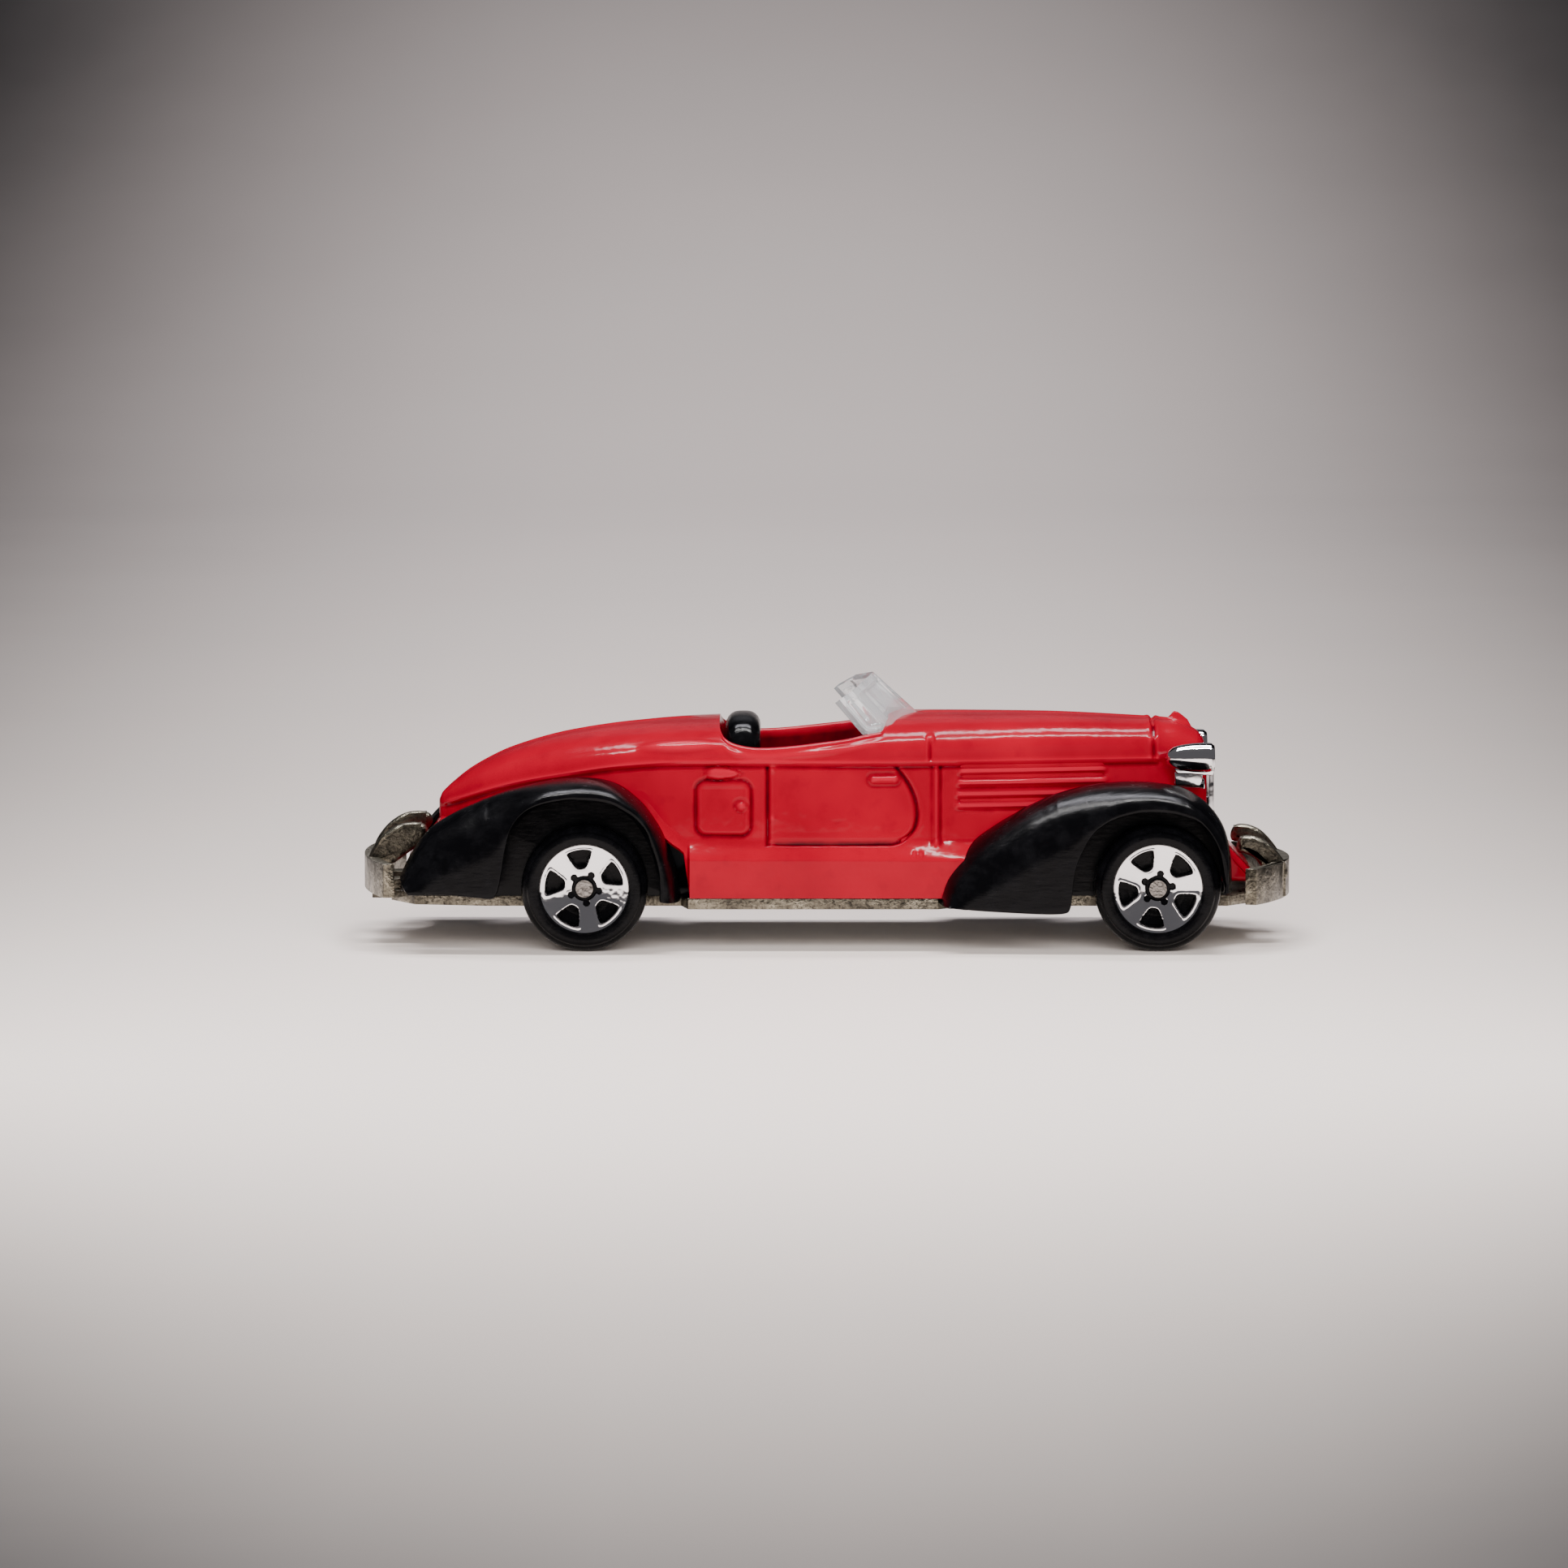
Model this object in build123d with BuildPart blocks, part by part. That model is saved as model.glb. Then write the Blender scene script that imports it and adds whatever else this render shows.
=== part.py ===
"""A small die-cast speedster with a pull-back motor.

+X points forward, +Y to the driver's left and +Z up. The origin is on the ground, under the
middle of the car's length. Millimetres throughout.
"""

import os
from math import acos, cos, pi, radians, sin, tan

from build123d import *

os.makedirs("parts", exist_ok=True)

# ---------------------------------------------------------------- driving sizes
overall_length = 78.0
fender_half_width = 14.2
fender_wall = 0.9
fender_shoulder = 1.2
rear_fender_low = 4.0
front_fender_low = 3.7
wheel_diameter = 10.5
wheel_width = 3.4
wheel_face_y = 13.4
wheelbase = 47.6
rear_axle_x = -20.2
axle_diameter = 1.2
axle_head_radius = 0.72
axle_head_thickness = 0.5
running_clearance = 0.05

chassis_bottom = 3.4
chassis_thickness = 0.9
web_thickness = 0.8
casting_wall = 0.9
fit_gap = 0.1

sill_rear_x = -11.6
sill_front_x = 17.2
sill_half_width = 12.6
sill_crease_height = 7.6
sill_top_height = 8.6

cockpit_rear_x = -8.8
cockpit_front_x = 4.6
tub_floor_height = 8.6
tub_wall = 0.8
seat_height = 18.9
seat_thickness = 3.0

screw_radius = 0.6
screw_head_radius = 1.3
screw_head_height = 0.55
screw_length = 6.0
post_behind_axle = (8.9, 9.8)
post_radius = 1.5

gear_module = 0.25
gear_width = 1.2
pinion_teeth = 10
clutch_large_teeth = 30
clutch_small_teeth = 12
spring_gear_teeth = 36
gear_backlash = 0.06
pressure_angle = radians(20)
clutch_bearing = radians(112)
spring_bearing = radians(5)
clutch_travel = 0.65
motor_wall = 0.55
motor_half_width = 3.9
motor_joint_y = -0.5
spindle_radius = 0.5
arbor_radius = 1.1
mainspring_width = 3.0
mainspring_strip = 0.16
mainspring_turns = 7

# ---------------------------------------------------------------- sizes worked out from those
front_axle_x = rear_axle_x + wheelbase
front_post_x = front_axle_x - post_behind_axle[0]
rear_post_x = rear_axle_x - post_behind_axle[1]
wheel_radius = wheel_diameter / 2
axle_height = wheel_radius
axle_radius = axle_diameter / 2
chassis_top = chassis_bottom + chassis_thickness
web_top = chassis_top + web_thickness
rear_end_x = -overall_length / 2
front_end_x = overall_length / 2

# Stations of the body from the tail to the nose. Each one gives x, the half width and the height
# of the belt line, the height of the crown, the half width at the foot, and how square the
# shoulder is (2 is an ellipse).
body_stations = [
    (-32.7, 0.7, 11.3, 12.3, 1.6, 2.0),
    (-31.4, 2.0, 11.6, 13.5, 3.4, 2.0),
    (-29.3, 3.6, 12.3, 15.0, 5.0, 2.0),
    (-26.4, 5.4, 13.2, 16.2, 6.6, 2.0),
    (-21.6, 7.4, 14.2, 17.3, 8.3, 2.1),
    (-16.2, 8.9, 15.0, 18.1, 9.3, 2.2),
    (-11.0, 9.8, 15.4, 18.5, 10.2, 2.4),
    (-4.0, 10.2, 15.4, 18.7, 10.6, 2.6),
    (4.0, 10.0, 15.3, 18.9, 10.6, 2.8),
    (10.5, 9.1, 15.3, 18.95, 9.8, 2.8),
    (18.0, 7.8, 15.3, 18.9, 8.6, 2.7),
    (25.0, 6.2, 15.3, 18.6, 7.4, 2.6),
    (29.0, 4.9, 15.2, 18.3, 6.4, 2.4),
    (31.0, 3.9, 14.9, 17.5, 5.6, 2.2),
    (31.9, 3.2, 14.4, 16.4, 5.0, 2.0),
]

# The cockpit's rim, the belt line and the seams, each as (x, z) seen from the side.
cockpit_rim = [
    (cockpit_rear_x, 18.4),
    (-8.5, 17.2),
    (-6.6, 16.45),
    (-3.0, 16.5),
    (0.6, 16.95),
    (3.0, 17.3),
    (cockpit_front_x, 17.6),
]
belt_line = [(-31.6, 11.4), (-26.7, 13.2), (-21.4, 14.3), (-16.0, 15.05), (-11.0, 15.4), (8.0, 15.35), (27.7, 15.3)]
door_outline = [
    (-5.0, 15.3),
    (-5.0, 9.2),
    (-4.3, 8.7),
    (5.8, 8.7),
    (6.6, 9.2),
    (7.4, 11.0),
    (7.0, 13.0),
    (5.7, 15.3),
]
fuel_door_outline = [
    (-11.0, 13.6),
    (-11.0, 9.8),
    (-10.6, 9.4),
    (-6.8, 9.4),
    (-6.4, 9.8),
    (-6.4, 13.6),
    (-6.8, 14.0),
    (-10.6, 14.0),
]
cowl_seam_x = 9.2
hood_seam_x = 27.3
louvre_heights = [11.85, 12.8, 13.8, 14.7]
relief = 0.25
seam_width = 0.25
lamp_slot_x = (29.0, 30.4)
lamp_slot_z = (14.2, 15.4)
peg_x = 5.95
peg_y = 3.3
peg_radius = 0.4
wheel_room_y = (9.6, 13.3)
fender_inner_y = 6.4
inner_wall = 0.7
ear_x = (front_axle_x - 1.2, front_axle_x + 1.2)
ear_y = (3.4, 4.8)

# Bumpers and over-riders, the latter as (x, z) seen from the side.
bumper_half_width = 12.0
over_rider_y = 5.0
over_rider_width = 1.5
rear_over_rider = [
    (rear_end_x + 0.6, 4.6),
    (rear_end_x + 0.6, 7.0),
    (rear_end_x + 1.7, 8.8),
    (rear_end_x + 3.5, 9.9),
    (rear_end_x + 5, 10.0),
    (rear_end_x + 5, 9.4),
    (rear_end_x + 3.6, 9.1),
    (rear_end_x + 2.4, 8.0),
    (rear_end_x + 1.7, 6.8),
    (rear_end_x + 1.7, 4.6),
]
front_over_rider = [
    (front_end_x - 0.6, 3.9),
    (front_end_x - 0.6, 6.6),
    (front_end_x - 1.6, 7.9),
    (front_end_x - 3.2, 8.7),
    (front_end_x - 4.4, 8.8),
    (front_end_x - 4.4, 8.2),
    (front_end_x - 3.3, 8.0),
    (front_end_x - 2.2, 7.3),
    (front_end_x - 1.6, 6.3),
    (front_end_x - 1.6, 3.9),
]

# Cabin, windscreen and lamps.
tub_half_width = 8.2
seat_half_width = 7.3
steering_centre = (3.2, 3.3, 15.2)
screen_thickness = 0.9
screen_base_height = 17.5
screen_plan = [(3.8, -8.0), (6.5, -6.5), (9.2, 0), (6.5, 6.5), (3.8, 8.0)]
lamp_y = 6.6
lamp_z = 15.4
lamp_profile = [(28.2, 0.0), (28.7, 0.7), (29.9, 1.12), (31.4, 1.25), (32.4, 1.1)]

# How each wheel stands at rest, in degrees from +X to +Z.
front_wheel_turn = 116
rear_wheel_turn = 98

# The motor's axes as (x, z), and where its layers lie across the car.
pinion_centre = (rear_axle_x, axle_height)
clutch_reach = gear_module * (pinion_teeth + clutch_large_teeth) / 2
clutch_centre = (
    pinion_centre[0] + clutch_reach * cos(clutch_bearing),
    pinion_centre[1] + clutch_reach * sin(clutch_bearing),
)
spring_reach = gear_module * (clutch_small_teeth + spring_gear_teeth) / 2
spring_centre = (
    clutch_centre[0] + spring_reach * cos(spring_bearing),
    clutch_centre[1] + spring_reach * sin(spring_bearing),
)
clutch_slide_degrees = 31.5
clutch_slide_angle = radians(clutch_slide_degrees)
clutch_spindle_radius = 0.4
thin_wall = 0.25
pinion_tip = gear_module * (pinion_teeth / 2 + 0.9)
clutch_room = gear_module * (clutch_large_teeth + 2) / 2 + 0.8
spring_room = gear_module * (spring_gear_teeth + 2) / 2 + 0.95
pinion_y = -3.2
divider_thickness = 0.3
spring_low_y = 0.05
arbor_end_y = 3.15
mainspring_outer = 4.35
spring_hook_angle = radians(80)
spring_post = (
    spring_centre[0] + (mainspring_outer + 0.35) * cos(spring_hook_angle),
    spring_centre[1] + (mainspring_outer + 0.35) * sin(spring_hook_angle),
)
motor_window_x = (-22.6, -16.3)
motor_screws_xy = [(-26.2, -2.1), (-12.6, 1.8)]
motor_screw_radius = 0.5
motor_screw_head_radius = 0.95
motor_screw_head_height = 0.45
motor_screw_top = 6.2


# ---------------------------------------------------------------- small helpers
def facing_right(y):
    """The upright plane at y: sketch x and y are the car's X and Z, and extrusions go to -Y."""
    return Plane.XZ.offset(-y)


def save(solid, name):
    """Labels a finished piece and writes it to its own file."""
    solid.label = name
    export_step(solid, f"parts/{name}.step")


def block(x, y, z, mode=Mode.ADD):
    """A plain block from two values each of x, y and z."""
    with Locations(((x[0] + x[1]) / 2, (y[0] + y[1]) / 2, (z[0] + z[1]) / 2)):
        Box(abs(x[1] - x[0]), abs(y[1] - y[0]), abs(z[1] - z[0]), mode=mode)


def drum(centre, radius, y, mode=Mode.ADD):
    """A plain cylinder along Y about (x, z) = centre, between two values of y."""
    with Locations((centre[0], (y[0] + y[1]) / 2, centre[1])):
        Cylinder(radius, abs(y[1] - y[0]), rotation=(90, 0, 0), mode=mode)


def stake(x, y, radius, z, mode=Mode.ADD):
    """A plain upright cylinder at (x, y), between two values of z."""
    with Locations((x, y, (z[0] + z[1]) / 2)):
        Cylinder(radius, abs(z[1] - z[0]), mode=mode)


def body_section(station, inset, floor):
    """One closed section of the body, inset from its outer surface, standing on floor."""
    x, belt_y, belt_z, crown_z, foot_y, squareness = station
    belt = max(belt_y - inset, 0.15)
    foot = max(foot_y - inset, 0.2)
    crown = crown_z - inset
    belt_height = min(belt_z, crown - 0.3)
    arch = []
    for step in range(13):
        angle = pi * step / 12
        across = abs(cos(angle)) ** (2 / squareness)
        rise = abs(sin(angle)) ** (2 / squareness)
        side = 1 if cos(angle) > 0 else -1
        arch.append((side * belt * across, belt_height + (crown - belt_height) * rise))
    with BuildSketch(Plane.YZ.offset(x)) as section:
        with BuildLine():
            Spline(*arch, tangents=[(0, 1), (0, -1)])
            Line((-belt, belt_height), (-foot, floor))
            Line((-foot, floor), (foot, floor))
            Line((foot, floor), (belt, belt_height))
        make_face()
    return section.sketch


def body_volume(inset, floor, stations):
    """The body's main volume, lofted through its stations."""
    with BuildPart(mode=Mode.PRIVATE) as volume:
        for station in stations:
            add(body_section(station, inset, floor))
        loft()
    return volume.part


def mouth(gap):
    """The space that the open cockpit takes out of the body, drawn smaller by a gap."""
    rim = [(x, z + gap) for x, z in cockpit_rim]
    rim[0] = (rim[0][0] + gap, rim[0][1])
    rim[-1] = (rim[-1][0] - gap, rim[-1][1])
    with BuildPart(mode=Mode.PRIVATE) as space:
        with BuildSketch(facing_right(15)):
            with BuildLine():
                Spline(*rim)
                Line(rim[-1], (rim[-1][0], 23))
                Line((rim[-1][0], 23), (rim[0][0], 23))
                Line((rim[0][0], 23), rim[0])
            make_face()
        extrude(amount=30)
    return space.part


def sill_envelope(side, grow):
    """The solid that one sill is cut from, grown by a gap."""
    profile = [
        (side * 9.6, chassis_top),
        (side * (sill_half_width + grow), chassis_top),
        (side * (sill_half_width - 0.2 + grow), sill_crease_height),
        (side * (sill_half_width - 1.0 + grow), sill_top_height - 0.3 + grow),
        (side * 9.6, sill_top_height + 0.2 + grow),
    ]
    with BuildPart(mode=Mode.PRIVATE) as envelope:
        with BuildSketch(Plane.YZ.offset(sill_rear_x - grow)):
            Polygon(*profile, align=None)
        extrude(amount=sill_front_x - sill_rear_x + 2 * grow)
    return envelope.part


def groove_lines(width):
    """The seams of the doors, the fuel door and the bonnet, as ribbons through the whole car."""
    with BuildPart(mode=Mode.PRIVATE) as ribbons:
        with BuildSketch(facing_right(15)):
            for outline in (door_outline, fuel_door_outline):
                Polygon(*outline, align=None)
        extrude(amount=30)
        with BuildSketch(facing_right(15)):
            for outline in (door_outline, fuel_door_outline):
                with BuildSketch(mode=Mode.PRIVATE) as core:
                    Polygon(*outline, align=None)
                    offset(amount=-width, mode=Mode.REPLACE)
                add(core.sketch)
        extrude(amount=30, mode=Mode.SUBTRACT)
        block((cowl_seam_x - width / 2, cowl_seam_x + width / 2), (-15, 15), (8.4, 15.3))
        block((hood_seam_x - width / 2, hood_seam_x + width / 2), (-15, 15), (14.4, 17.6))
    return ribbons.part


body_outer = body_volume(0, web_top, body_stations)
body_grown = body_volume(-fit_gap, web_top - 3, body_stations)
body_with_ribs = body_volume(-relief - fit_gap, web_top - 3, body_stations)


def seat_crest_edges(tub):
    """The two long curved edges over the top of the seat back."""
    return [
        edge
        for edge in tub.edges().filter_by(GeomType.CIRCLE)
        if edge.center().Z > 15 and edge.length > 5
    ]


# ---------------------------------------------------------------- body shell
with BuildPart() as body_shell:
    add(body_volume(-relief, web_top, body_stations))
    # Only the belt line and the louvres stand proud of the panels.
    with BuildPart(mode=Mode.PRIVATE) as proud_lines:
        with BuildSketch(facing_right(15)):
            with BuildLine():
                Spline(*[(x, z + 0.2) for x, z in belt_line])
                Line((belt_line[-1][0], belt_line[-1][1] + 0.2), (belt_line[-1][0], belt_line[-1][1] - 0.2))
                Spline(*[(x, z - 0.2) for x, z in reversed(belt_line)])
                Line((belt_line[0][0], belt_line[0][1] - 0.2), (belt_line[0][0], belt_line[0][1] + 0.2))
            make_face()
        extrude(amount=30)
        for height in louvre_heights:
            block((10.8, 22.8), (-15, 15), (height - 0.2, height + 0.2))
    add(proud_lines.part, mode=Mode.INTERSECT)
    add(body_outer)
    for side in (-1, 1):
        add(sill_envelope(side, 0))
    # The aprons that close the tail and the nose down to the bumpers.
    with BuildSketch(facing_right(5.6)):
        Polygon((-30.5, web_top), (-35.7, web_top), (-35.4, 6.6), (-33.0, 9.4), (-30.5, 9.6), align=None)
    extrude(amount=11.2)
    with BuildSketch(facing_right(6.2)):
        Polygon((30.5, web_top), (35.6, web_top), (35.5, 5.9), (34.2, 7.4), (31.6, 9.4), (30.5, 9.4), align=None)
    extrude(amount=12.4)
    # Seams, only as deep as the relief.
    with BuildPart(mode=Mode.PRIVATE) as seams:
        add(groove_lines(seam_width))
        add(body_volume(relief, web_top - 1, body_stations), mode=Mode.SUBTRACT)
    add(seams.part, mode=Mode.SUBTRACT)
    # Hollow the casting from below and open the cockpit, in one cut.
    with BuildPart(mode=Mode.PRIVATE) as room:
        add(body_volume(casting_wall, web_top - 2, body_stations[1:-1]))
        add(mouth(0))
    add(room.part, mode=Mode.SUBTRACT)
    sill_room_x = (sill_rear_x + casting_wall, sill_front_x - casting_wall)
    for side in (-1, 1):
        room_y = (side * 8.0, side * (sill_half_width - 1.1))
        block(sill_room_x, room_y, (chassis_top - 1, sill_crease_height - casting_wall), Mode.SUBTRACT)
    block((-34.6, -29), (-4.6, 4.6), (web_top - 1, 6.2), Mode.SUBTRACT)
    block((29, 34.4), (-5.2, 5.2), (web_top - 1, 6.4), Mode.SUBTRACT)
    # Room for the wheels and their axles.
    for x in (rear_axle_x, front_axle_x):
        block((x - 0.9, x + 0.9), (-11, 11), (web_top - 1, axle_height + 0.95), Mode.SUBTRACT)
        for side in (-1, 1):
            drum((x, axle_height), wheel_radius + 0.9, (side * 9.6, side * 15), Mode.SUBTRACT)
    # Screw posts under the tail and the bonnet.
    for x, top in ((rear_post_x, 13.4), (front_post_x, 18.3)):
        stake(x, 0, post_radius, (web_top, top))
        stake(x, 0, screw_radius, (web_top - 1, chassis_bottom + screw_length + 0.8), Mode.SUBTRACT)
    # Slots for the lamp bar and the grille stem, and holes for the windscreen pegs.
    block(lamp_slot_x, (-8, 8), lamp_slot_z, Mode.SUBTRACT)
    block((30.0, 33.0), (-1.1, 1.1), (9.9, 12.1), Mode.SUBTRACT)
    for side in (-1, 1):
        stake(peg_x, side * peg_y, peg_radius + running_clearance, (16, 20), Mode.SUBTRACT)
        # The door handle, the fuel door's knob and the blister over it.
        block((3.4, 5.9), (side * 9.3, side * 10.75), (13.8, 14.5))
        with Locations((-7.2, side * 10.15, 11.9)):
            Sphere(0.5)
    block((28.7, 30.5), (-0.35, 0.35), (17.0, 18.85))
save(body_shell.part, "body_shell")

# ---------------------------------------------------------------- fenders and the web that joins them
rear_fender_crest = [
    (rear_axle_x - 15.4, 6.05),
    (rear_axle_x - 14.53, 7.84),
    (rear_axle_x - 12.99, 9.9),
    (rear_axle_x - 9.9, 11.72),
    (rear_axle_x - 4.99, 13.54),
    (rear_axle_x - 0.37, 14.19),
    (rear_axle_x + 2.97, 13.52),
    (rear_axle_x + 5.54, 11.2),
    (rear_axle_x + 7.21, 7.84),
    (rear_axle_x + 7.9, rear_fender_low),
]
rear_fender_foot = [
    (rear_axle_x + 7.9, rear_fender_low),
    (rear_axle_x - 7.4, rear_fender_low),
    (rear_axle_x - 14.7, 5.0),
    (rear_axle_x - 15.4, 6.05),
]
rear_arch = [
    (rear_axle_x - 7.08, 3.0),
    (rear_axle_x - 6.81, 6.8),
    (rear_axle_x - 6.03, 10.42),
    (rear_axle_x - 3.45, 12.48),
    (rear_axle_x + 0.4, 12.87),
    (rear_axle_x + 4.26, 11.45),
    (rear_axle_x + 5.8, 8.62),
    (rear_axle_x + 6.43, 3.0),
]
front_fender_crest = [
    (front_axle_x - 18.2, front_fender_low),
    (front_axle_x - 17.47, 6.43),
    (front_axle_x - 15.07, 9.09),
    (front_axle_x - 11.48, 11.38),
    (front_axle_x - 7.65, 13.07),
    (front_axle_x - 3.4, 13.85),
    (front_axle_x + 0.74, 13.66),
    (front_axle_x + 3.88, 12.33),
    (front_axle_x + 5.8, 9.56),
    (front_axle_x + 6.28, 5.0),
]
front_fender_foot = [
    (front_axle_x + 6.28, 5.0),
    (front_axle_x + 6.1, 4.3),
    (front_axle_x - 7.2, 3.1),
    (front_axle_x - 18.2, front_fender_low),
]
front_arch = [
    (front_axle_x - 7.25, 3.0),
    (front_axle_x - 6.92, 6.67),
    (front_axle_x - 5.48, 9.81),
    (front_axle_x - 2.12, 11.68),
    (front_axle_x + 1.48, 11.68),
    (front_axle_x + 4.36, 9.81),
    (front_axle_x + 5.44, 6.43),
    (front_axle_x + 5.6, 3.0),
]


def drawn_in(points, crest, by):
    """The points of a fender's side, drawn in towards the middle of its foot."""
    low = min(x for x, z in crest)
    high = max(x for x, z in crest)
    top = max(z for x, z in crest)
    middle = (low + high) / 2
    narrower = 1 - 2 * by / (high - low)
    lower = 1 - by / (top - chassis_top)
    return [(middle + (x - middle) * narrower, chassis_top + (z - chassis_top) * lower) for x, z in points]


def fender_outline(crest, foot, by):
    """The side of one fender, closed along its foot."""
    with BuildSketch(Plane.XY) as outline:
        with BuildLine():
            Spline(*drawn_in(crest, crest, by))
            Polyline(*drawn_in(foot, crest, by))
        make_face()
    return outline.sketch


def fender_hollow(crest):
    """The hollow inside one fender, open below."""
    inner = drawn_in(crest, crest, fender_wall)
    with BuildSketch(Plane.XY) as hollow:
        with BuildLine():
            Spline(*inner)
            Polyline(inner[-1], (inner[-1][0], 2), (inner[0][0], 2), inner[0])
        make_face()
    return hollow.sketch


with BuildPart() as fender_moulding:
    for crest, foot, arch in (
        (rear_fender_crest, rear_fender_foot, rear_arch),
        (front_fender_crest, front_fender_foot, front_arch),
    ):
        with BuildPart(mode=Mode.PRIVATE) as fender:
            with BuildSketch(facing_right(-fender_inner_y)):
                add(fender_outline(crest, foot, 0))
            extrude(amount=fender_half_width - fender_shoulder - fender_inner_y)
            # The shoulder leans in towards the outer face.
            with BuildSketch(facing_right(fender_shoulder - fender_half_width)):
                add(fender_outline(crest, foot, 0))
            with BuildSketch(facing_right(-fender_half_width)):
                add(fender_outline(crest, foot, fender_shoulder / 2))
            loft(ruled=True)
            # The wheel's room, and the hollow between that and the body.
            with BuildSketch(facing_right(-wheel_room_y[0])):
                add(fender_hollow(crest))
            extrude(amount=wheel_room_y[1] - wheel_room_y[0], mode=Mode.SUBTRACT)
            with BuildSketch(facing_right(-fender_inner_y + 1)):
                add(fender_hollow(crest))
            extrude(amount=wheel_room_y[0] - inner_wall - fender_inner_y + 1, mode=Mode.SUBTRACT)
            # The wheel arch, through the outer face.
            with BuildSketch(facing_right(-wheel_room_y[0])):
                with BuildLine():
                    Spline(*arch)
                    Line(arch[-1], arch[0])
                make_face()
            extrude(amount=fender_half_width - wheel_room_y[0] + 1, mode=Mode.SUBTRACT)
        add(fender.part)
        add(mirror(fender.part, Plane.XZ))
    add(body_with_ribs, mode=Mode.SUBTRACT)
    for side in (-1, 1):
        add(sill_envelope(side, fit_gap), mode=Mode.SUBTRACT)
    # Nothing below the web comes over the chassis plate.
    block((-40, 40), (-8.9, 8.9), (2, chassis_top), Mode.SUBTRACT)
    block((-40, 12.3), (-12.7, 12.7), (2, chassis_top), Mode.SUBTRACT)
    # The web under the body, cut away for the motor, the axles and the front axle's ears.
    block((-34.0, 33.4), (-8.9, 8.9), (chassis_top, web_top))
    for web_x in ((-28.4, -13.4), (20.0, 33.4)):
        block(web_x, (-9.6, 9.6), (chassis_top, web_top))
    block((-28.2, -9.8), (-4.6, 4.6), (2, web_top + 1), Mode.SUBTRACT)
    for x in (rear_axle_x, front_axle_x):
        block((x - 0.9, x + 0.9), (-12, 12), (2, axle_height + 0.95), Mode.SUBTRACT)
    block((ear_x[0] - 0.2, ear_x[1] + 0.2), (-ear_y[1] - 0.2, ear_y[1] + 0.2), (2, web_top + 1), Mode.SUBTRACT)
    for x in (rear_post_x, front_post_x):
        stake(x, 0, screw_radius + 0.1, (2, web_top + 1), Mode.SUBTRACT)
save(fender_moulding.part, "fender_moulding")

# ---------------------------------------------------------------- chassis casting
with BuildPart() as chassis_base:
    with BuildSketch(Plane.XY.offset(chassis_bottom)):
        with BuildLine():
            right_half = [
                (rear_end_x + 2.4, 0),
                (rear_end_x + 2.4, -4.0),
                (rear_end_x + 4.5, -7.6),
                (-28.6, -8.8),
                (-12.2, -8.8),
                (sill_rear_x, -11.6),
                (9.2, -11.6),
                (12.0, -8.8),
                (front_end_x - 5.6, -8.8),
                (front_end_x - 2.6, -5.0),
                (front_end_x - 2.6, 0),
            ]
            Polyline(*right_half)
            Polyline(*[(x, -y) for x, y in right_half])
        make_face()
    extrude(amount=chassis_thickness)
    # Bumper blades, bowed across the car, their arms and their over-riders.
    for end_x, tip_x, low, high, arm_x in (
        (rear_end_x, rear_end_x + 2.1, 4.4, 7.2, rear_end_x + 3.2),
        (front_end_x, front_end_x - 3.4, 3.8, 6.8, front_end_x - 3.2),
    ):
        inward = -1 if end_x > 0 else 1
        with BuildSketch(Plane.XY.offset(low)):
            with BuildLine():
                ThreePointArc((tip_x, -bumper_half_width), (end_x, 0), (tip_x, bumper_half_width))
                Line((tip_x, bumper_half_width), (tip_x + inward * 0.9, bumper_half_width - 0.3))
                ThreePointArc(
                    (tip_x + inward * 0.9, bumper_half_width - 0.3),
                    (end_x + inward * 0.9, 0),
                    (tip_x + inward * 0.9, -bumper_half_width + 0.3),
                )
                Line((tip_x + inward * 0.9, -bumper_half_width + 0.3), (tip_x, -bumper_half_width))
            make_face()
        extrude(amount=high - low)
        for side in (-1, 1):
            block((arm_x, end_x + inward * 0.8), (side * 2.2, side * 4.2), (chassis_bottom + 0.2, low + 0.8))
    for side in (-1, 1):
        with BuildSketch(facing_right(side * over_rider_y + over_rider_width / 2)):
            Polygon(*rear_over_rider, align=None)
            Polygon(*front_over_rider, align=None)
        extrude(amount=over_rider_width)
    # The motor looks out through the plate.
    block(motor_window_x, (-motor_half_width - 0.2, motor_half_width + 0.2), (2, 6), Mode.SUBTRACT)
    # Ears that hold the front axle.
    for side in (-1, 1):
        block(ear_x, (side * ear_y[0], side * ear_y[1]), (chassis_top, axle_height + 1.3))
    drum((front_axle_x, axle_height), axle_radius + 0.01, (-6, 6), Mode.SUBTRACT)
    # Counterbored screw holes.
    for x in (rear_post_x, front_post_x):
        stake(x, 0, screw_radius + 0.1, (3, 5), Mode.SUBTRACT)
        stake(x, 0, screw_head_radius + 0.1, (3, chassis_bottom + screw_head_height), Mode.SUBTRACT)
    for x, y in motor_screws_xy:
        stake(x, y, motor_screw_radius + 0.1, (3, 5), Mode.SUBTRACT)
        stake(x, y, motor_screw_head_radius + 0.1, (3, chassis_bottom + motor_screw_head_height), Mode.SUBTRACT)
    # A shallow relief panel under the cabin.
    block((-8.6, 13.0), (-7.5, 7.5), (3, chassis_bottom + 0.25), Mode.SUBTRACT)
save(chassis_base.part, "chassis_base")

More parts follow.
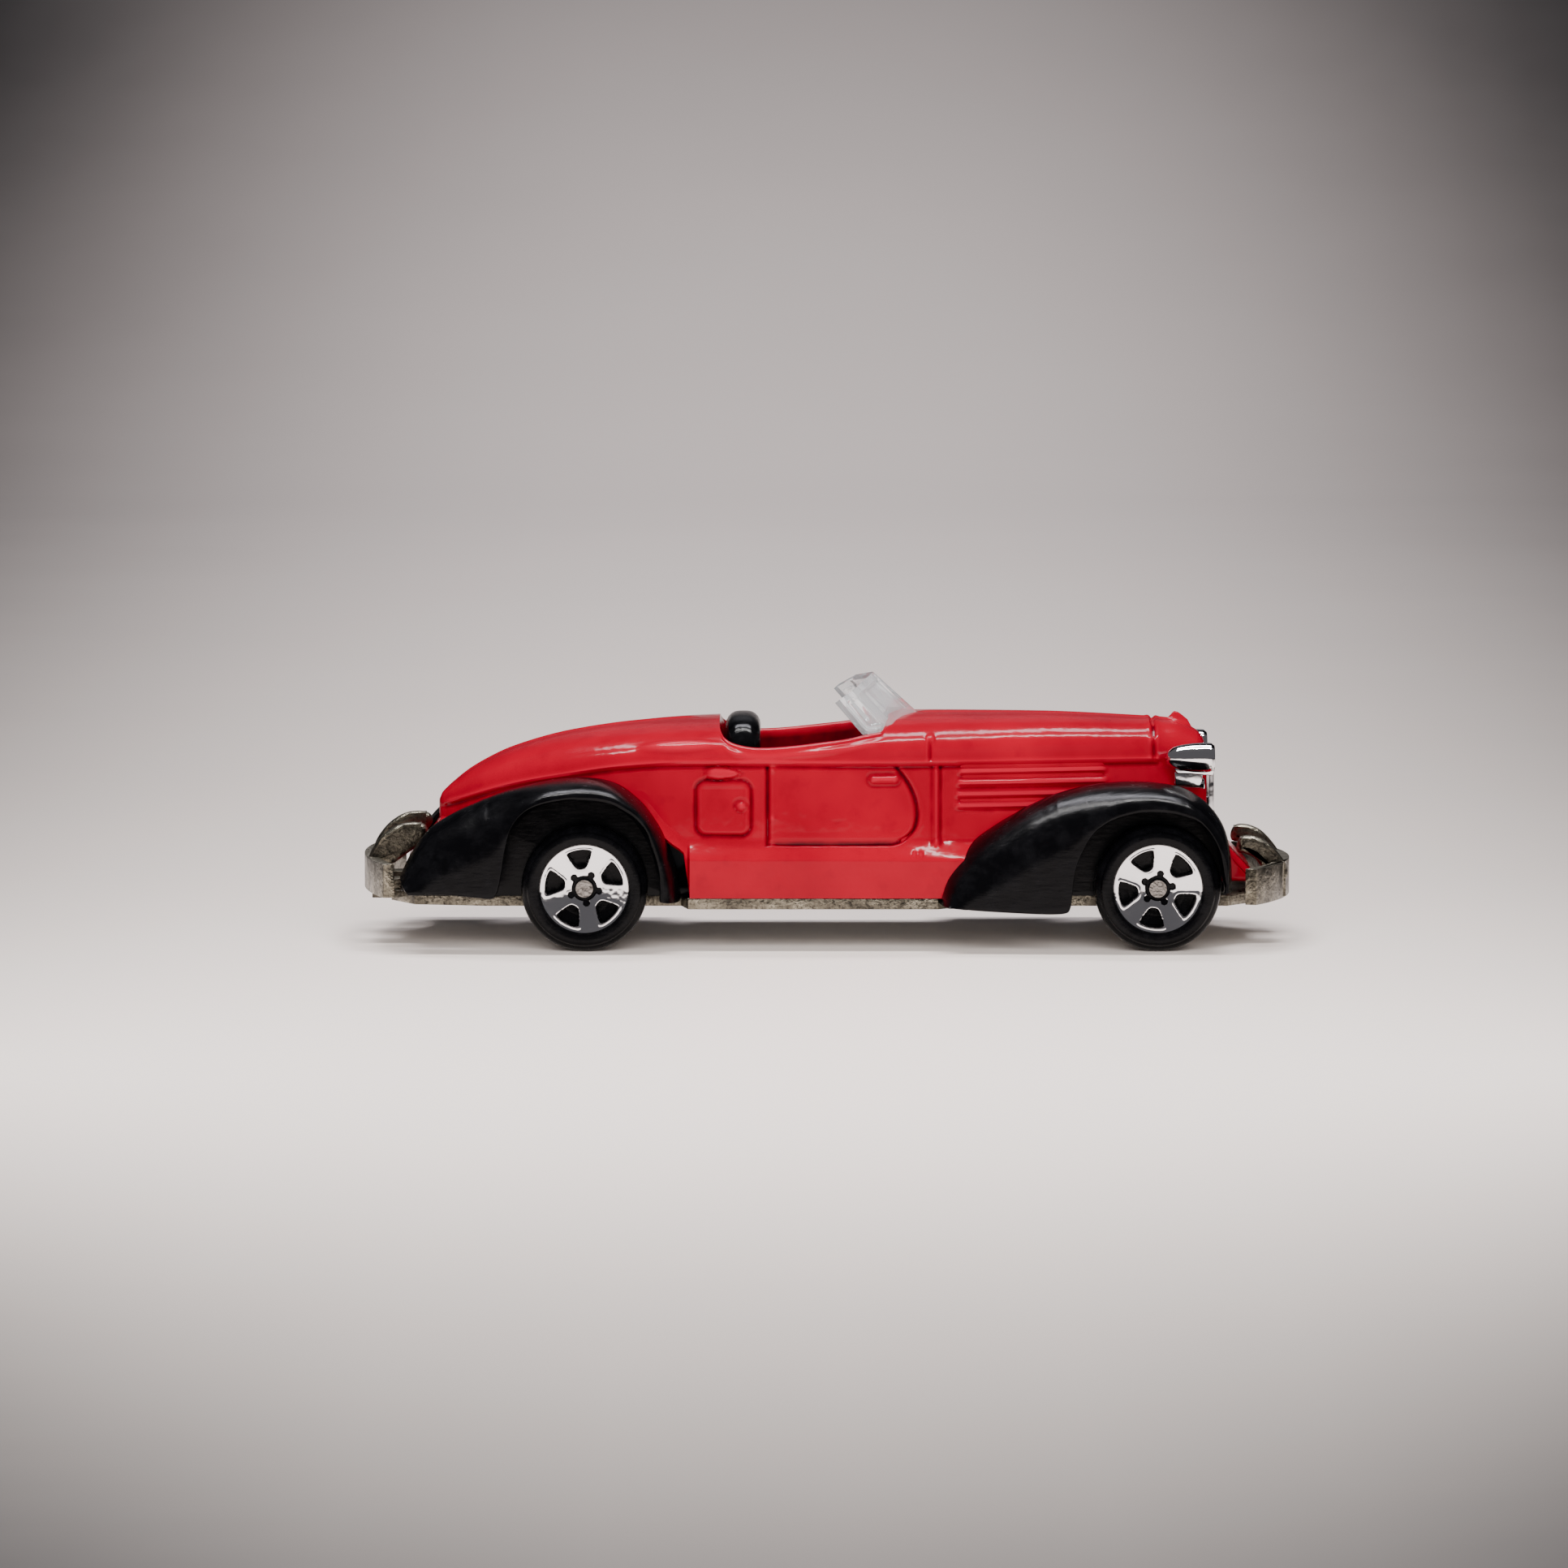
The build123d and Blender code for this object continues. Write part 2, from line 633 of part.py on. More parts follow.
# ---------------------------------------------------------------- cabin
with BuildPart() as interior_tub:
    block((-9.6, 7.6), (-tub_half_width, tub_half_width), (tub_floor_height, tub_floor_height + tub_wall))
    for side in (-1, 1):
        wall_y = (side * (tub_half_width - tub_wall), side * tub_half_width)
        block((-9.6, 7.6), wall_y, (tub_floor_height, 13.4))
    block((-9.6, -8.8), (-tub_half_width, tub_half_width), (tub_floor_height, 15.0))
    # Legs that stand on the web.
    for x in (-8.2, 5.4):
        block((x, x + 1.6), (-3.0, 3.0), (web_top, tub_floor_height))
    # The bench seat with its rounded back.
    with BuildSketch(Plane.YZ.offset(-8.6)):
        with BuildLine():
            Polyline((-seat_half_width, tub_floor_height), (seat_half_width, tub_floor_height))
            Line((seat_half_width, tub_floor_height), (seat_half_width, 15.8))
            ThreePointArc((seat_half_width, 15.8), (0, seat_height), (-seat_half_width, 15.8))
            Line((-seat_half_width, 15.8), (-seat_half_width, tub_floor_height))
        make_face()
    extrude(amount=seat_thickness)
    fillet(seat_crest_edges(interior_tub), 0.9)
    block((-6.2, -1.2), (-seat_half_width, seat_half_width), (tub_floor_height, 12.6))
    # The dashboard, the steering column and its wheel.
    block((4.9, 6.2), (-7.2, 7.2), (tub_floor_height + 3.4, 16.6))
    block((6.2, 7.6), (-7.2, 7.2), (tub_floor_height, 13.0))
    with Locations(Location(steering_centre, (0, -62, 0))):
        Torus(1.9, 0.22)
        Box(3.8, 0.3, 0.3)
        Box(0.3, 3.8, 0.3)
        with Locations((0, 0, -1.5)):
            Cylinder(0.35, 3.0)
save(interior_tub.part, "interior_tub")

# ---------------------------------------------------------------- windscreen
with BuildPart() as windshield:
    with BuildSketch(Plane.XY.offset(screen_base_height)):
        with BuildLine():
            Polyline(*screen_plan)
            Polyline(*[(x - screen_thickness * 1.1, y * 0.93) for x, y in screen_plan])
            for end in (0, -1):
                x, y = screen_plan[end]
                Line((x, y), (x - screen_thickness * 1.1, y * 0.93))
        make_face()
    extrude(amount=7.0, dir=(-1, 0, 0.97))
    # The top edge dips towards the sides.
    with BuildSketch(Plane.YZ.offset(-6)):
        Polygon((-10, 30), (-10, 20.4), (-8, 20.7), (-6.5, 21.6), (0, 22.5), (6.5, 21.6), (8, 20.7), (10, 20.4), (10, 30), align=None)
    extrude(amount=20, mode=Mode.SUBTRACT)
    with BuildPart(mode=Mode.PRIVATE) as cowl:
        add(body_grown)
        add(mouth(fit_gap), mode=Mode.SUBTRACT)
    add(cowl.part, mode=Mode.SUBTRACT)
    for side in (-1, 1):
        stake(peg_x, side * peg_y, peg_radius, (17.6, 19.2))
save(windshield.part, "windshield")

# ---------------------------------------------------------------- lamps and grille, one chromed moulding
with BuildPart() as headlight_grille_trim:
    block((lamp_slot_x[0] + 0.1, lamp_slot_x[1] - 0.1), (-lamp_y, lamp_y), (lamp_slot_z[0] + 0.1, lamp_slot_z[1] - 0.1))
    for side in (-1, 1):
        # Each lamp is a bullet: a turned profile about its own axis.
        with BuildSketch(Plane.XY.offset(lamp_z)):
            with BuildLine():
                Spline(*[(x, side * lamp_y - r) for x, r in lamp_profile])
                Line((lamp_profile[-1][0], side * lamp_y - lamp_profile[-1][1]), (lamp_profile[-1][0], side * lamp_y))
                Line((lamp_profile[-1][0], side * lamp_y), (lamp_profile[0][0], side * lamp_y))
            make_face()
        revolve(axis=Axis((0, side * lamp_y, lamp_z), (1, 0, 0)))
        block((28.9, 31.4), (side * 5.5, side * 6.3), (13.2, 14.8))
        with Locations((30.3, side * 5.85, 13.4)):
            Cylinder(0.5, 2.6, rotation=(0, 90, 0))
    # The grille hangs in front of the nose on a stem.
    block((29.3, 30.3), (-0.9, 0.9), (10.1, 14.6))
    block((29.3, 32.2), (-0.9, 0.9), (10.1, 11.9))
    with BuildSketch(Plane.YZ.offset(32.05)):
        with Locations((0, 12.9)):
            RectangleRounded(5.6, 6.6, 1.2)
    extrude(amount=0.5)
    with BuildSketch(Plane.YZ.offset(32.35)):
        with Locations((0, 12.9)):
            with GridLocations(0.8, 1, 6, 1):
                RectangleRounded(0.4, 5.6, 0.15)
    extrude(amount=0.5, mode=Mode.SUBTRACT)
save(headlight_grille_trim.part, "headlight_grille_trim")

# ---------------------------------------------------------------- wheels
wheel_profile = [
    (1.0, 1.05),
    (3.65, 0.45),
    (3.75, 0.15),
    (4.3, 0.0),
    (4.85, 0.18),
    (5.15, 0.6),
    (wheel_radius, 1.3),
    (wheel_radius, 2.9),
    (5.0, wheel_width),
    (3.9, wheel_width),
    (3.7, 2.0),
    (1.4, 2.0),
    (1.4, wheel_width),
]
window_outline = [(2.05, -0.42), (2.05, 0.42), (3.05, 0.95), (3.25, 0.0), (3.05, -0.95)]


def wheel_windows(side, turn):
    """The five windows of a wheel as one cutting solid, for a wheel on one side of the car."""
    with BuildPart(mode=Mode.PRIVATE) as cutters:
        with BuildSketch(Plane.XZ.offset(side * (wheel_face_y + 1))):
            with PolarLocations(0, 5, start_angle=turn):
                Polygon(*window_outline, align=None)
        extrude(amount=-side * 4)
    return cutters.part


def wheel_at(side, bore, turn):
    """One wheel about the Y axis at the origin, facing outwards on its own side."""
    with BuildPart(mode=Mode.PRIVATE) as wheel:
        with BuildSketch(Plane.YZ):
            with BuildLine():
                outline = [(-side * (wheel_face_y - depth), r) for r, depth in wheel_profile]
                inner = (-side * (wheel_face_y - wheel_width), bore)
                outer = (-side * (wheel_face_y - 1.05), bore)
                Polyline(*outline, inner, outer, outline[0])
            make_face()
        revolve(axis=Axis.Y)
        add(wheel_windows(side, turn), mode=Mode.SUBTRACT)
    return wheel.part


def foil_at(side, turn):
    """The bright foil on the dish of one wheel, about the Y axis at the origin."""
    with BuildPart(mode=Mode.PRIVATE) as foil:
        with BuildSketch(Plane.YZ):
            with BuildLine():
                outline = [(1.05, 1.02), (3.58, 0.445), (3.58, 0.345), (1.05, 0.92), (1.05, 1.02)]
                Polyline(*[(-side * (wheel_face_y - depth), r) for r, depth in outline])
            make_face()
        revolve(axis=Axis.Y)
        add(wheel_windows(side, turn), mode=Mode.SUBTRACT)
        with BuildSketch(Plane.XZ.offset(side * (wheel_face_y + 1))):
            with PolarLocations(1.15, 5, start_angle=turn + 36):
                Circle(0.42)
        extrude(amount=-side * 4, mode=Mode.SUBTRACT)
    return foil.part


front_bore = axle_radius + running_clearance
with BuildPart() as front_left_wheel:
    with Locations((front_axle_x, 0, axle_height)):
        add(wheel_at(-1, front_bore, front_wheel_turn))
save(front_left_wheel.part, "front_left_wheel")

with BuildPart() as front_right_wheel:
    with Locations((front_axle_x, 0, axle_height)):
        add(wheel_at(1, front_bore, front_wheel_turn))
save(front_right_wheel.part, "front_right_wheel")

with BuildPart() as rear_left_wheel:
    with Locations((rear_axle_x, 0, axle_height)):
        add(wheel_at(-1, axle_radius, rear_wheel_turn))
save(rear_left_wheel.part, "rear_left_wheel")

with BuildPart() as rear_right_wheel:
    with Locations((rear_axle_x, 0, axle_height)):
        add(wheel_at(1, axle_radius, rear_wheel_turn))
save(rear_right_wheel.part, "rear_right_wheel")

with BuildPart() as front_left_wheel_foil:
    with Locations((front_axle_x, 0, axle_height)):
        add(foil_at(-1, front_wheel_turn))
save(front_left_wheel_foil.part, "front_left_wheel_foil")

with BuildPart() as front_right_wheel_foil:
    with Locations((front_axle_x, 0, axle_height)):
        add(foil_at(1, front_wheel_turn))
save(front_right_wheel_foil.part, "front_right_wheel_foil")

with BuildPart() as rear_left_wheel_foil:
    with Locations((rear_axle_x, 0, axle_height)):
        add(foil_at(-1, rear_wheel_turn))
save(rear_left_wheel_foil.part, "rear_left_wheel_foil")

with BuildPart() as rear_right_wheel_foil:
    with Locations((rear_axle_x, 0, axle_height)):
        add(foil_at(1, rear_wheel_turn))
save(rear_right_wheel_foil.part, "rear_right_wheel_foil")

# ---------------------------------------------------------------- axles
hub_face_y = wheel_face_y - 1.05
front_head_y = hub_face_y + 0.1

with BuildPart() as front_axle:
    drum((front_axle_x, axle_height), axle_radius, (-front_head_y, front_head_y))
    for side in (-1, 1):
        head_y = (side * front_head_y, side * (front_head_y + axle_head_thickness))
        drum((front_axle_x, axle_height), axle_head_radius, head_y)
save(front_axle.part, "front_axle")

with BuildPart() as rear_axle:
    drum((rear_axle_x, axle_height), axle_radius, (-hub_face_y, hub_face_y))
    for side in (-1, 1):
        head_y = (side * hub_face_y, side * (hub_face_y + axle_head_thickness))
        drum((rear_axle_x, axle_height), axle_head_radius, head_y)
save(rear_axle.part, "rear_axle")

# ---------------------------------------------------------------- gears of the motor
def involute(angle):
    """The involute function."""
    return tan(angle) - angle


def gear_face(teeth, addendum, tooth_at, bore):
    """A gear's outline with a tooth centred on the angle tooth_at, in radians from +X to +Z."""
    pitch = gear_module * teeth / 2
    base = pitch * cos(pressure_angle)
    tip = pitch + addendum * gear_module
    root = pitch - 1.25 * gear_module
    half_tooth = pi / (2 * teeth) - gear_backlash / (2 * pitch) + involute(pressure_angle)
    flank = [(root, half_tooth)]
    for step in range(5):
        radius = max(base, root) + (tip - max(base, root)) * step / 4
        flank.append((radius, half_tooth - involute(acos(min(1, base / radius)))))
    points = []
    for tooth in range(teeth):
        centre = tooth_at + 2 * pi * tooth / teeth
        for radius, half in flank:
            points.append((radius * cos(centre - half), radius * sin(centre - half)))
        for radius, half in reversed(flank):
            points.append((radius * cos(centre + half), radius * sin(centre + half)))
    with BuildSketch(Plane.XY) as face:
        Polygon(*points, align=None)
        Circle(bore, mode=Mode.SUBTRACT)
    return face.sketch


def gear_blank(centre, y, face):
    """Adds a gear of the given outline about (x, z) = centre, from the lower y to the higher."""
    with BuildPart(mode=Mode.PRIVATE) as blank:
        with BuildSketch(Plane.XZ.offset(-y[1])):
            with Locations(centre):
                add(face)
        extrude(amount=y[1] - y[0])
    return blank.part


low_layer = (pinion_y, pinion_y + gear_width)
high_layer = (low_layer[1] + 0.2, low_layer[1] + 0.2 + gear_width)

with BuildPart() as axle_pinion:
    add(gear_blank(pinion_centre, low_layer, gear_face(pinion_teeth, 0.9, clutch_bearing, axle_radius)))
save(axle_pinion.part, "axle_pinion")

clutch_bore = clutch_spindle_radius + running_clearance
with BuildPart() as clutch_gear:
    large_at = clutch_bearing + pi + pi / clutch_large_teeth
    add(gear_blank(clutch_centre, low_layer, gear_face(clutch_large_teeth, 0.65, large_at, clutch_bore)))
    add(gear_blank(clutch_centre, high_layer, gear_face(clutch_small_teeth, 0.9, spring_bearing, clutch_bore)))
    drum(clutch_centre, 1.1, (low_layer[1], high_layer[0]))
    drum(clutch_centre, clutch_bore, (low_layer[0], high_layer[1]), Mode.SUBTRACT)
save(clutch_gear.part, "clutch_gear")

spring_bore = spindle_radius + running_clearance
with BuildPart() as spring_gear:
    spring_at = spring_bearing + pi + pi / spring_gear_teeth
    add(gear_blank(spring_centre, high_layer, gear_face(spring_gear_teeth, 0.65, spring_at, spring_bore)))
    drum(spring_centre, arbor_radius, (high_layer[1], arbor_end_y))
    drum(spring_centre, spring_bore, (high_layer[0], arbor_end_y), Mode.SUBTRACT)
save(spring_gear.part, "spring_gear")

# ---------------------------------------------------------------- motor case
slot_x = -cos(clutch_slide_angle) * clutch_travel
slot_z = sin(clutch_slide_angle) * clutch_travel


def case_outline(inset):
    """The motor's outline about its three axes, as a taut loop, drawn inset."""
    far_clutch = (clutch_centre[0] + slot_x, clutch_centre[1] + slot_z)
    circles = (
        (pinion_centre, max(axle_height - chassis_bottom, pinion_tip + thin_wall + 0.1) - min(inset, thin_wall)),
        (clutch_centre, clutch_room - inset),
        (far_clutch, clutch_room - inset),
        (spring_centre, spring_room - inset),
    )
    with BuildSketch(Plane.XY) as outline:
        for centre, radius in circles:
            with Locations(centre):
                Circle(radius)
        make_hull()
    return outline.sketch


def case_slab(y, inset, mode=Mode.ADD):
    """Adds or cuts the case's outline, from the lower y to the higher."""
    with BuildPart(mode=Mode.PRIVATE) as slab:
        with BuildSketch(Plane.XZ.offset(-y[1])):
            add(case_outline(inset))
        extrude(amount=y[1] - y[0])
    add(slab.part, mode=mode)


def spindle_holes(y):
    """Cuts the axle's bearing, the clutch's slot and the spring spindle's hole through a wall."""
    drum(pinion_centre, axle_radius + running_clearance, y, Mode.SUBTRACT)
    drum(spring_centre, spindle_radius, y, Mode.SUBTRACT)
    with BuildPart(mode=Mode.PRIVATE) as slot:
        with BuildSketch(Plane.XZ.offset(-y[1])):
            with Locations((clutch_centre[0] + slot_x / 2, clutch_centre[1] + slot_z / 2)):
                slot_room = clutch_travel + 2 * (clutch_spindle_radius + running_clearance)
                slot_high = 2 * (clutch_spindle_radius + running_clearance)
                SlotOverall(slot_room, slot_high, rotation=180 - clutch_slide_degrees)
        extrude(amount=y[1] - y[0])
    add(slot.part, mode=Mode.SUBTRACT)


with BuildPart() as motor_case_right:
    case_slab((-motor_half_width, motor_joint_y), 0)
    rear_screw_x, rear_screw_y = motor_screws_xy[0]
    lug_y = (rear_screw_y - 1.2, rear_screw_y + 1.2)
    block((rear_screw_x - 1.2, rear_screw_x + 2.2), lug_y, (chassis_top, 7.2))
    case_slab((-motor_half_width + motor_wall, motor_joint_y), motor_wall, Mode.SUBTRACT)
    spindle_holes((-motor_half_width, -motor_half_width + motor_wall))
    stake(rear_screw_x, rear_screw_y, motor_screw_radius, (4, motor_screw_top + 0.2), Mode.SUBTRACT)
save(motor_case_right.part, "motor_case_right")

with BuildPart() as motor_case_left:
    case_slab((motor_joint_y + divider_thickness, motor_half_width), 0)
    front_screw_x, front_screw_y = motor_screws_xy[1]
    lug_y = (front_screw_y - 1.2, front_screw_y + 1.2)
    block((front_screw_x - 1.2, front_screw_x + 1.2), lug_y, (chassis_top, 6.9))
    case_slab((motor_joint_y + divider_thickness, motor_half_width - motor_wall), motor_wall, Mode.SUBTRACT)
    spindle_holes((motor_half_width - motor_wall, motor_half_width))
    stake(front_screw_x, front_screw_y, motor_screw_radius, (4, motor_screw_top + 0.2), Mode.SUBTRACT)
    # The post that the mainspring's outer end hooks on.
    drum(spring_post, 0.3, (spring_low_y, motor_half_width - motor_wall))
save(motor_case_left.part, "motor_case_left")

with BuildPart() as spring_divider:
    case_slab((motor_joint_y, motor_joint_y + divider_thickness), 0)
    spindle_holes((motor_joint_y, motor_joint_y + divider_thickness))
    drum(spring_centre, arbor_radius + 0.1, (motor_joint_y, motor_joint_y + divider_thickness), Mode.SUBTRACT)
save(spring_divider.part, "spring_divider")

with BuildPart() as clutch_spindle:
    drum(clutch_centre, clutch_spindle_radius, (-motor_half_width, motor_half_width))
save(clutch_spindle.part, "clutch_spindle")

with BuildPart() as spring_spindle:
    drum(spring_centre, spindle_radius, (-motor_half_width, motor_half_width))
save(spring_spindle.part, "spring_spindle")

# ---------------------------------------------------------------- mainspring
with BuildPart() as mainspring:
    steps = mainspring_turns * 12
    first = arbor_radius + 0.03
    growth = mainspring_outer - mainspring_strip - first
    inside, outside = [], []
    for step in range(steps + 1):
        angle = spring_hook_angle - 2 * pi * mainspring_turns * (1 - step / steps)
        radius = first + growth * step / steps
        x, z = cos(angle), sin(angle)
        wider = radius + mainspring_strip
        inside.append((spring_centre[0] + radius * x, spring_centre[1] + radius * z))
        outside.append((spring_centre[0] + wider * x, spring_centre[1] + wider * z))
    with BuildSketch(Plane.XZ.offset(-spring_low_y - mainspring_width)):
        with BuildLine():
            Spline(*inside)
            Line(inside[-1], outside[-1])
            Spline(*reversed(outside))
            Line(outside[0], inside[0])
        make_face()
    extrude(amount=mainspring_width)
save(mainspring.part, "mainspring")

# ---------------------------------------------------------------- screws
with BuildPart() as base_screws:
    for x in (rear_post_x, front_post_x):
        stake(x, 0, screw_head_radius, (chassis_bottom + 0.05, chassis_bottom + screw_head_height))
        stake(x, 0, screw_radius, (chassis_bottom + screw_head_height, chassis_bottom + screw_length))
        for size in ((1.8, 0.3), (0.3, 1.8)):
            with Locations((x, 0, chassis_bottom)):
                Box(size[0], size[1], 0.5, mode=Mode.SUBTRACT)
save(base_screws.part, "base_screws")

with BuildPart() as motor_screws:
    for x, y in motor_screws_xy:
        stake(x, y, motor_screw_head_radius, (chassis_bottom + 0.05, chassis_bottom + motor_screw_head_height))
        stake(x, y, motor_screw_radius, (chassis_bottom + motor_screw_head_height, motor_screw_top))
        for size in ((1.2, 0.22), (0.22, 1.2)):
            with Locations((x, y, chassis_bottom)):
                Box(size[0], size[1], 0.5, mode=Mode.SUBTRACT)
save(motor_screws.part, "motor_screws")
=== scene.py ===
from math import cos, pi, radians, sin

import bmesh
import bpy
import numpy as np
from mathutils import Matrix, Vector


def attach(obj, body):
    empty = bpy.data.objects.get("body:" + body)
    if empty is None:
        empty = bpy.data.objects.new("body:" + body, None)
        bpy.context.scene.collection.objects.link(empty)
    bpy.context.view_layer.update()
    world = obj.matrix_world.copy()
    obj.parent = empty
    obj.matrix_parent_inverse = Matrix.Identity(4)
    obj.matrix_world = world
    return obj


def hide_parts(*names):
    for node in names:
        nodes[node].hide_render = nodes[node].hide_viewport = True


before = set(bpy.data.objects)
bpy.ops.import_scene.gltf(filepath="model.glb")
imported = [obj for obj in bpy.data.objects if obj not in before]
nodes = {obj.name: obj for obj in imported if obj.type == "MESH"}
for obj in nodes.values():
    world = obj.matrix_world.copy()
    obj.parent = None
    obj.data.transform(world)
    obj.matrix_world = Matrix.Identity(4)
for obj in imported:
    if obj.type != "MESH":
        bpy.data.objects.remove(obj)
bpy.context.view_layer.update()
mm = 0.001
print("stage: frame loaded,", len(nodes), "nodes")


# Small helpers used by every piece

def smooth(a, b, x):
    # 0 below a, 1 above b, with an even slope at both ends
    t = np.clip((x - a) / (b - a), 0, 1)
    return t * t * (3 - 2 * t)


def hump(x, centre, width):
    # a bell of height 1 and the given half width
    return np.exp(-(((x - centre) / width) ** 2))


def through(points, count, closed=False):
    # a smooth line through the points (centripetal Catmull-Rom), then evenly spaced by length
    p = np.array(points, float)
    ends = (p[-1:], p[:2]) if closed else (2 * p[:1] - p[1:2], 2 * p[-1:] - p[-2:-1])
    q = np.vstack([ends[0], p, ends[1]])
    t = np.linspace(0, 1, 24, endpoint=False)[:, None]
    runs = []
    for a, b, c, d in zip(q[:-3], q[1:-2], q[2:-1], q[3:]):
        runs.append(0.5 * (2 * b + (c - a) * t + (2 * a - 5 * b + 4 * c - d) * t**2 + (3 * b - a - 3 * c + d) * t**3))
    line = np.vstack(runs + [q[-2:-1]])
    along = np.concatenate([[0], np.cumsum(np.linalg.norm(np.diff(line, axis=0), axis=1))])
    want = np.linspace(0, along[-1], count)
    return np.stack([np.interp(want, along, line[:, k]) for k in range(line.shape[1])], axis=1)


def gridFaces(rows, cols, wrapRows=False, wrapCols=False):
    # quads of a rows x cols grid of points
    r = np.arange(rows if wrapRows else rows - 1)[:, None]
    c = np.arange(cols if wrapCols else cols - 1)[None, :]
    a = r * cols + c
    b = r * cols + (c + 1) % cols
    d = ((r + 1) % rows) * cols + c
    e = ((r + 1) % rows) * cols + (c + 1) % cols
    return np.stack([a, b, e, d], axis=-1).reshape(-1, 4)


def makePiece(name, verts, faces, material, body="car", caps=(), crease=38, **values):
    # verts in mm, faces as an array of quads, caps as further loops of vertex numbers, values as
    # numbers for each vertex, which the materials read by name; doubled points at seams and poles
    # are merged, and closed surfaces are turned to face outwards
    mesh = bpy.data.meshes.new(name)
    mesh.from_pydata((np.asarray(verts) * mm).tolist(), [], np.asarray(faces).tolist() + [list(c) for c in caps])
    for key, numbers in values.items():
        layer = mesh.attributes.new(key, "FLOAT", "POINT")
        layer.data.foreach_set("value", np.broadcast_to(np.asarray(numbers, np.float32), len(mesh.vertices)).copy())
    build = bmesh.new()
    build.from_mesh(mesh)
    bmesh.ops.remove_doubles(build, verts=build.verts, dist=2e-7)
    bmesh.ops.dissolve_degenerate(build, edges=build.edges, dist=1e-7)
    if body:
        bmesh.ops.recalc_face_normals(build, faces=build.faces)
    build.to_mesh(mesh)
    build.free()
    mesh.polygons.foreach_set("use_smooth", np.ones(len(mesh.polygons), bool))
    mesh.set_sharp_from_angle(angle=radians(crease))
    obj = bpy.data.objects.new(name, mesh)
    bpy.context.scene.collection.objects.link(obj)
    mesh.materials.append(material)
    if body:
        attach(obj, body)
    return obj


def gather(parts):
    # several (verts, faces, caps) as one
    verts, faces, caps, start = [], [], [], 0
    for v, f, c in parts:
        verts.append(np.asarray(v, float).reshape(-1, 3))
        faces.append(np.asarray(f) + start)
        caps += [[k + start for k in loop] for loop in c]
        start += len(verts[-1])
    return np.concatenate(verts), np.concatenate(faces), caps


def slab(outline, low, high, edge, across="y", count=0):
    # a plate whose outline, two of (x, y, z), is carried along the third, with its rims rounded:
    # the outline shrinks by edge x (1 - cos) as it nears either face; both faces are flat caps
    p = through(outline, count, closed=True)[:-1] if count else np.array(outline, float)
    ahead, behind = np.roll(p, -1, 0) - p, p - np.roll(p, 1, 0)
    ahead, behind = (v / (np.linalg.norm(v, axis=1, keepdims=True) + 1e-12) for v in (ahead, behind))
    lean = ahead + behind
    lean /= np.linalg.norm(lean, axis=1, keepdims=True) + 1e-12
    normal = np.stack([lean[:, 1], -lean[:, 0]], axis=1)
    area = np.sum(p[:, 0] * np.roll(p[:, 1], -1) - np.roll(p[:, 0], -1) * p[:, 1])
    normal *= np.sign(area) / np.maximum(np.sum(lean * ahead, axis=1, keepdims=True), 0.5)
    bend = np.linspace(0, pi / 2, 6)
    inset = edge * np.concatenate([1 - np.sin(bend), (1 - np.sin(bend))[::-1]])
    along = np.concatenate([low + edge * (1 - np.cos(bend)), (high - edge * (1 - np.cos(bend)))[::-1]])
    rings = p[None] - normal[None] * inset[:, None, None]
    third = np.repeat(along[:, None], len(p), 1)
    a, b = rings[:, :, 0], rings[:, :, 1]
    grid = np.stack({"y": (a, third, b), "x": (third, a, b), "z": (a, b, third)}[across], axis=-1)
    rows, cols = len(along), len(p)
    ends = [list(range(cols)), list(range((rows - 1) * cols, rows * cols))]
    return grid.reshape(-1, 3), gridFaces(rows, cols, wrapCols=True), ends


def box(x, y, z, edge=0.15):
    # a block with its upright edges cut and its top and bottom rims rounded
    e = edge
    outline = [(x[0] + e, y[0]), (x[1] - e, y[0]), (x[1], y[0] + e), (x[1], y[1] - e),
               (x[1] - e, y[1]), (x[0] + e, y[1]), (x[0], y[1] - e), (x[0], y[0] + e)]
    return slab(outline, z[0], z[1], e, "z")


def skinned(outer, thick, outward, flatCols=0):
    # closes an open grid with an inner skin lying `thick` behind it: normals come from the cross
    # product of the grid's own directions, and strips join both skins along all four edges
    u, v = np.gradient(outer, axis=0), np.gradient(outer, axis=1)
    normal = np.cross(u, v)
    normal /= np.linalg.norm(normal, axis=-1, keepdims=True) + 1e-12
    middle = normal[outer.shape[0] // 2, outer.shape[1] // 2]
    normal *= np.sign(np.dot(middle, outward))
    inner = outer - normal * thick
    if flatCols:
        inner[:, -flatCols:] = outer[:, -flatCols:] - normal[:, -flatCols - 1:-flatCols] * thick
        inner[:, -flatCols:, 1] = inner[:, -flatCols - 1:-flatCols, 1]
    rows, cols = outer.shape[:2]
    ring = np.concatenate([outer, inner[:, ::-1]], axis=1)
    faces = gridFaces(rows, 2 * cols, wrapCols=True)
    k = np.arange(cols - 1)
    ends = []
    for row in (0, rows - 1):
        base = row * 2 * cols
        ends.append(np.stack([base + k, base + k + 1, base + 2 * cols - 2 - k, base + 2 * cols - 1 - k], axis=-1))
    return ring.reshape(-1, 3), np.concatenate([faces] + ends), []


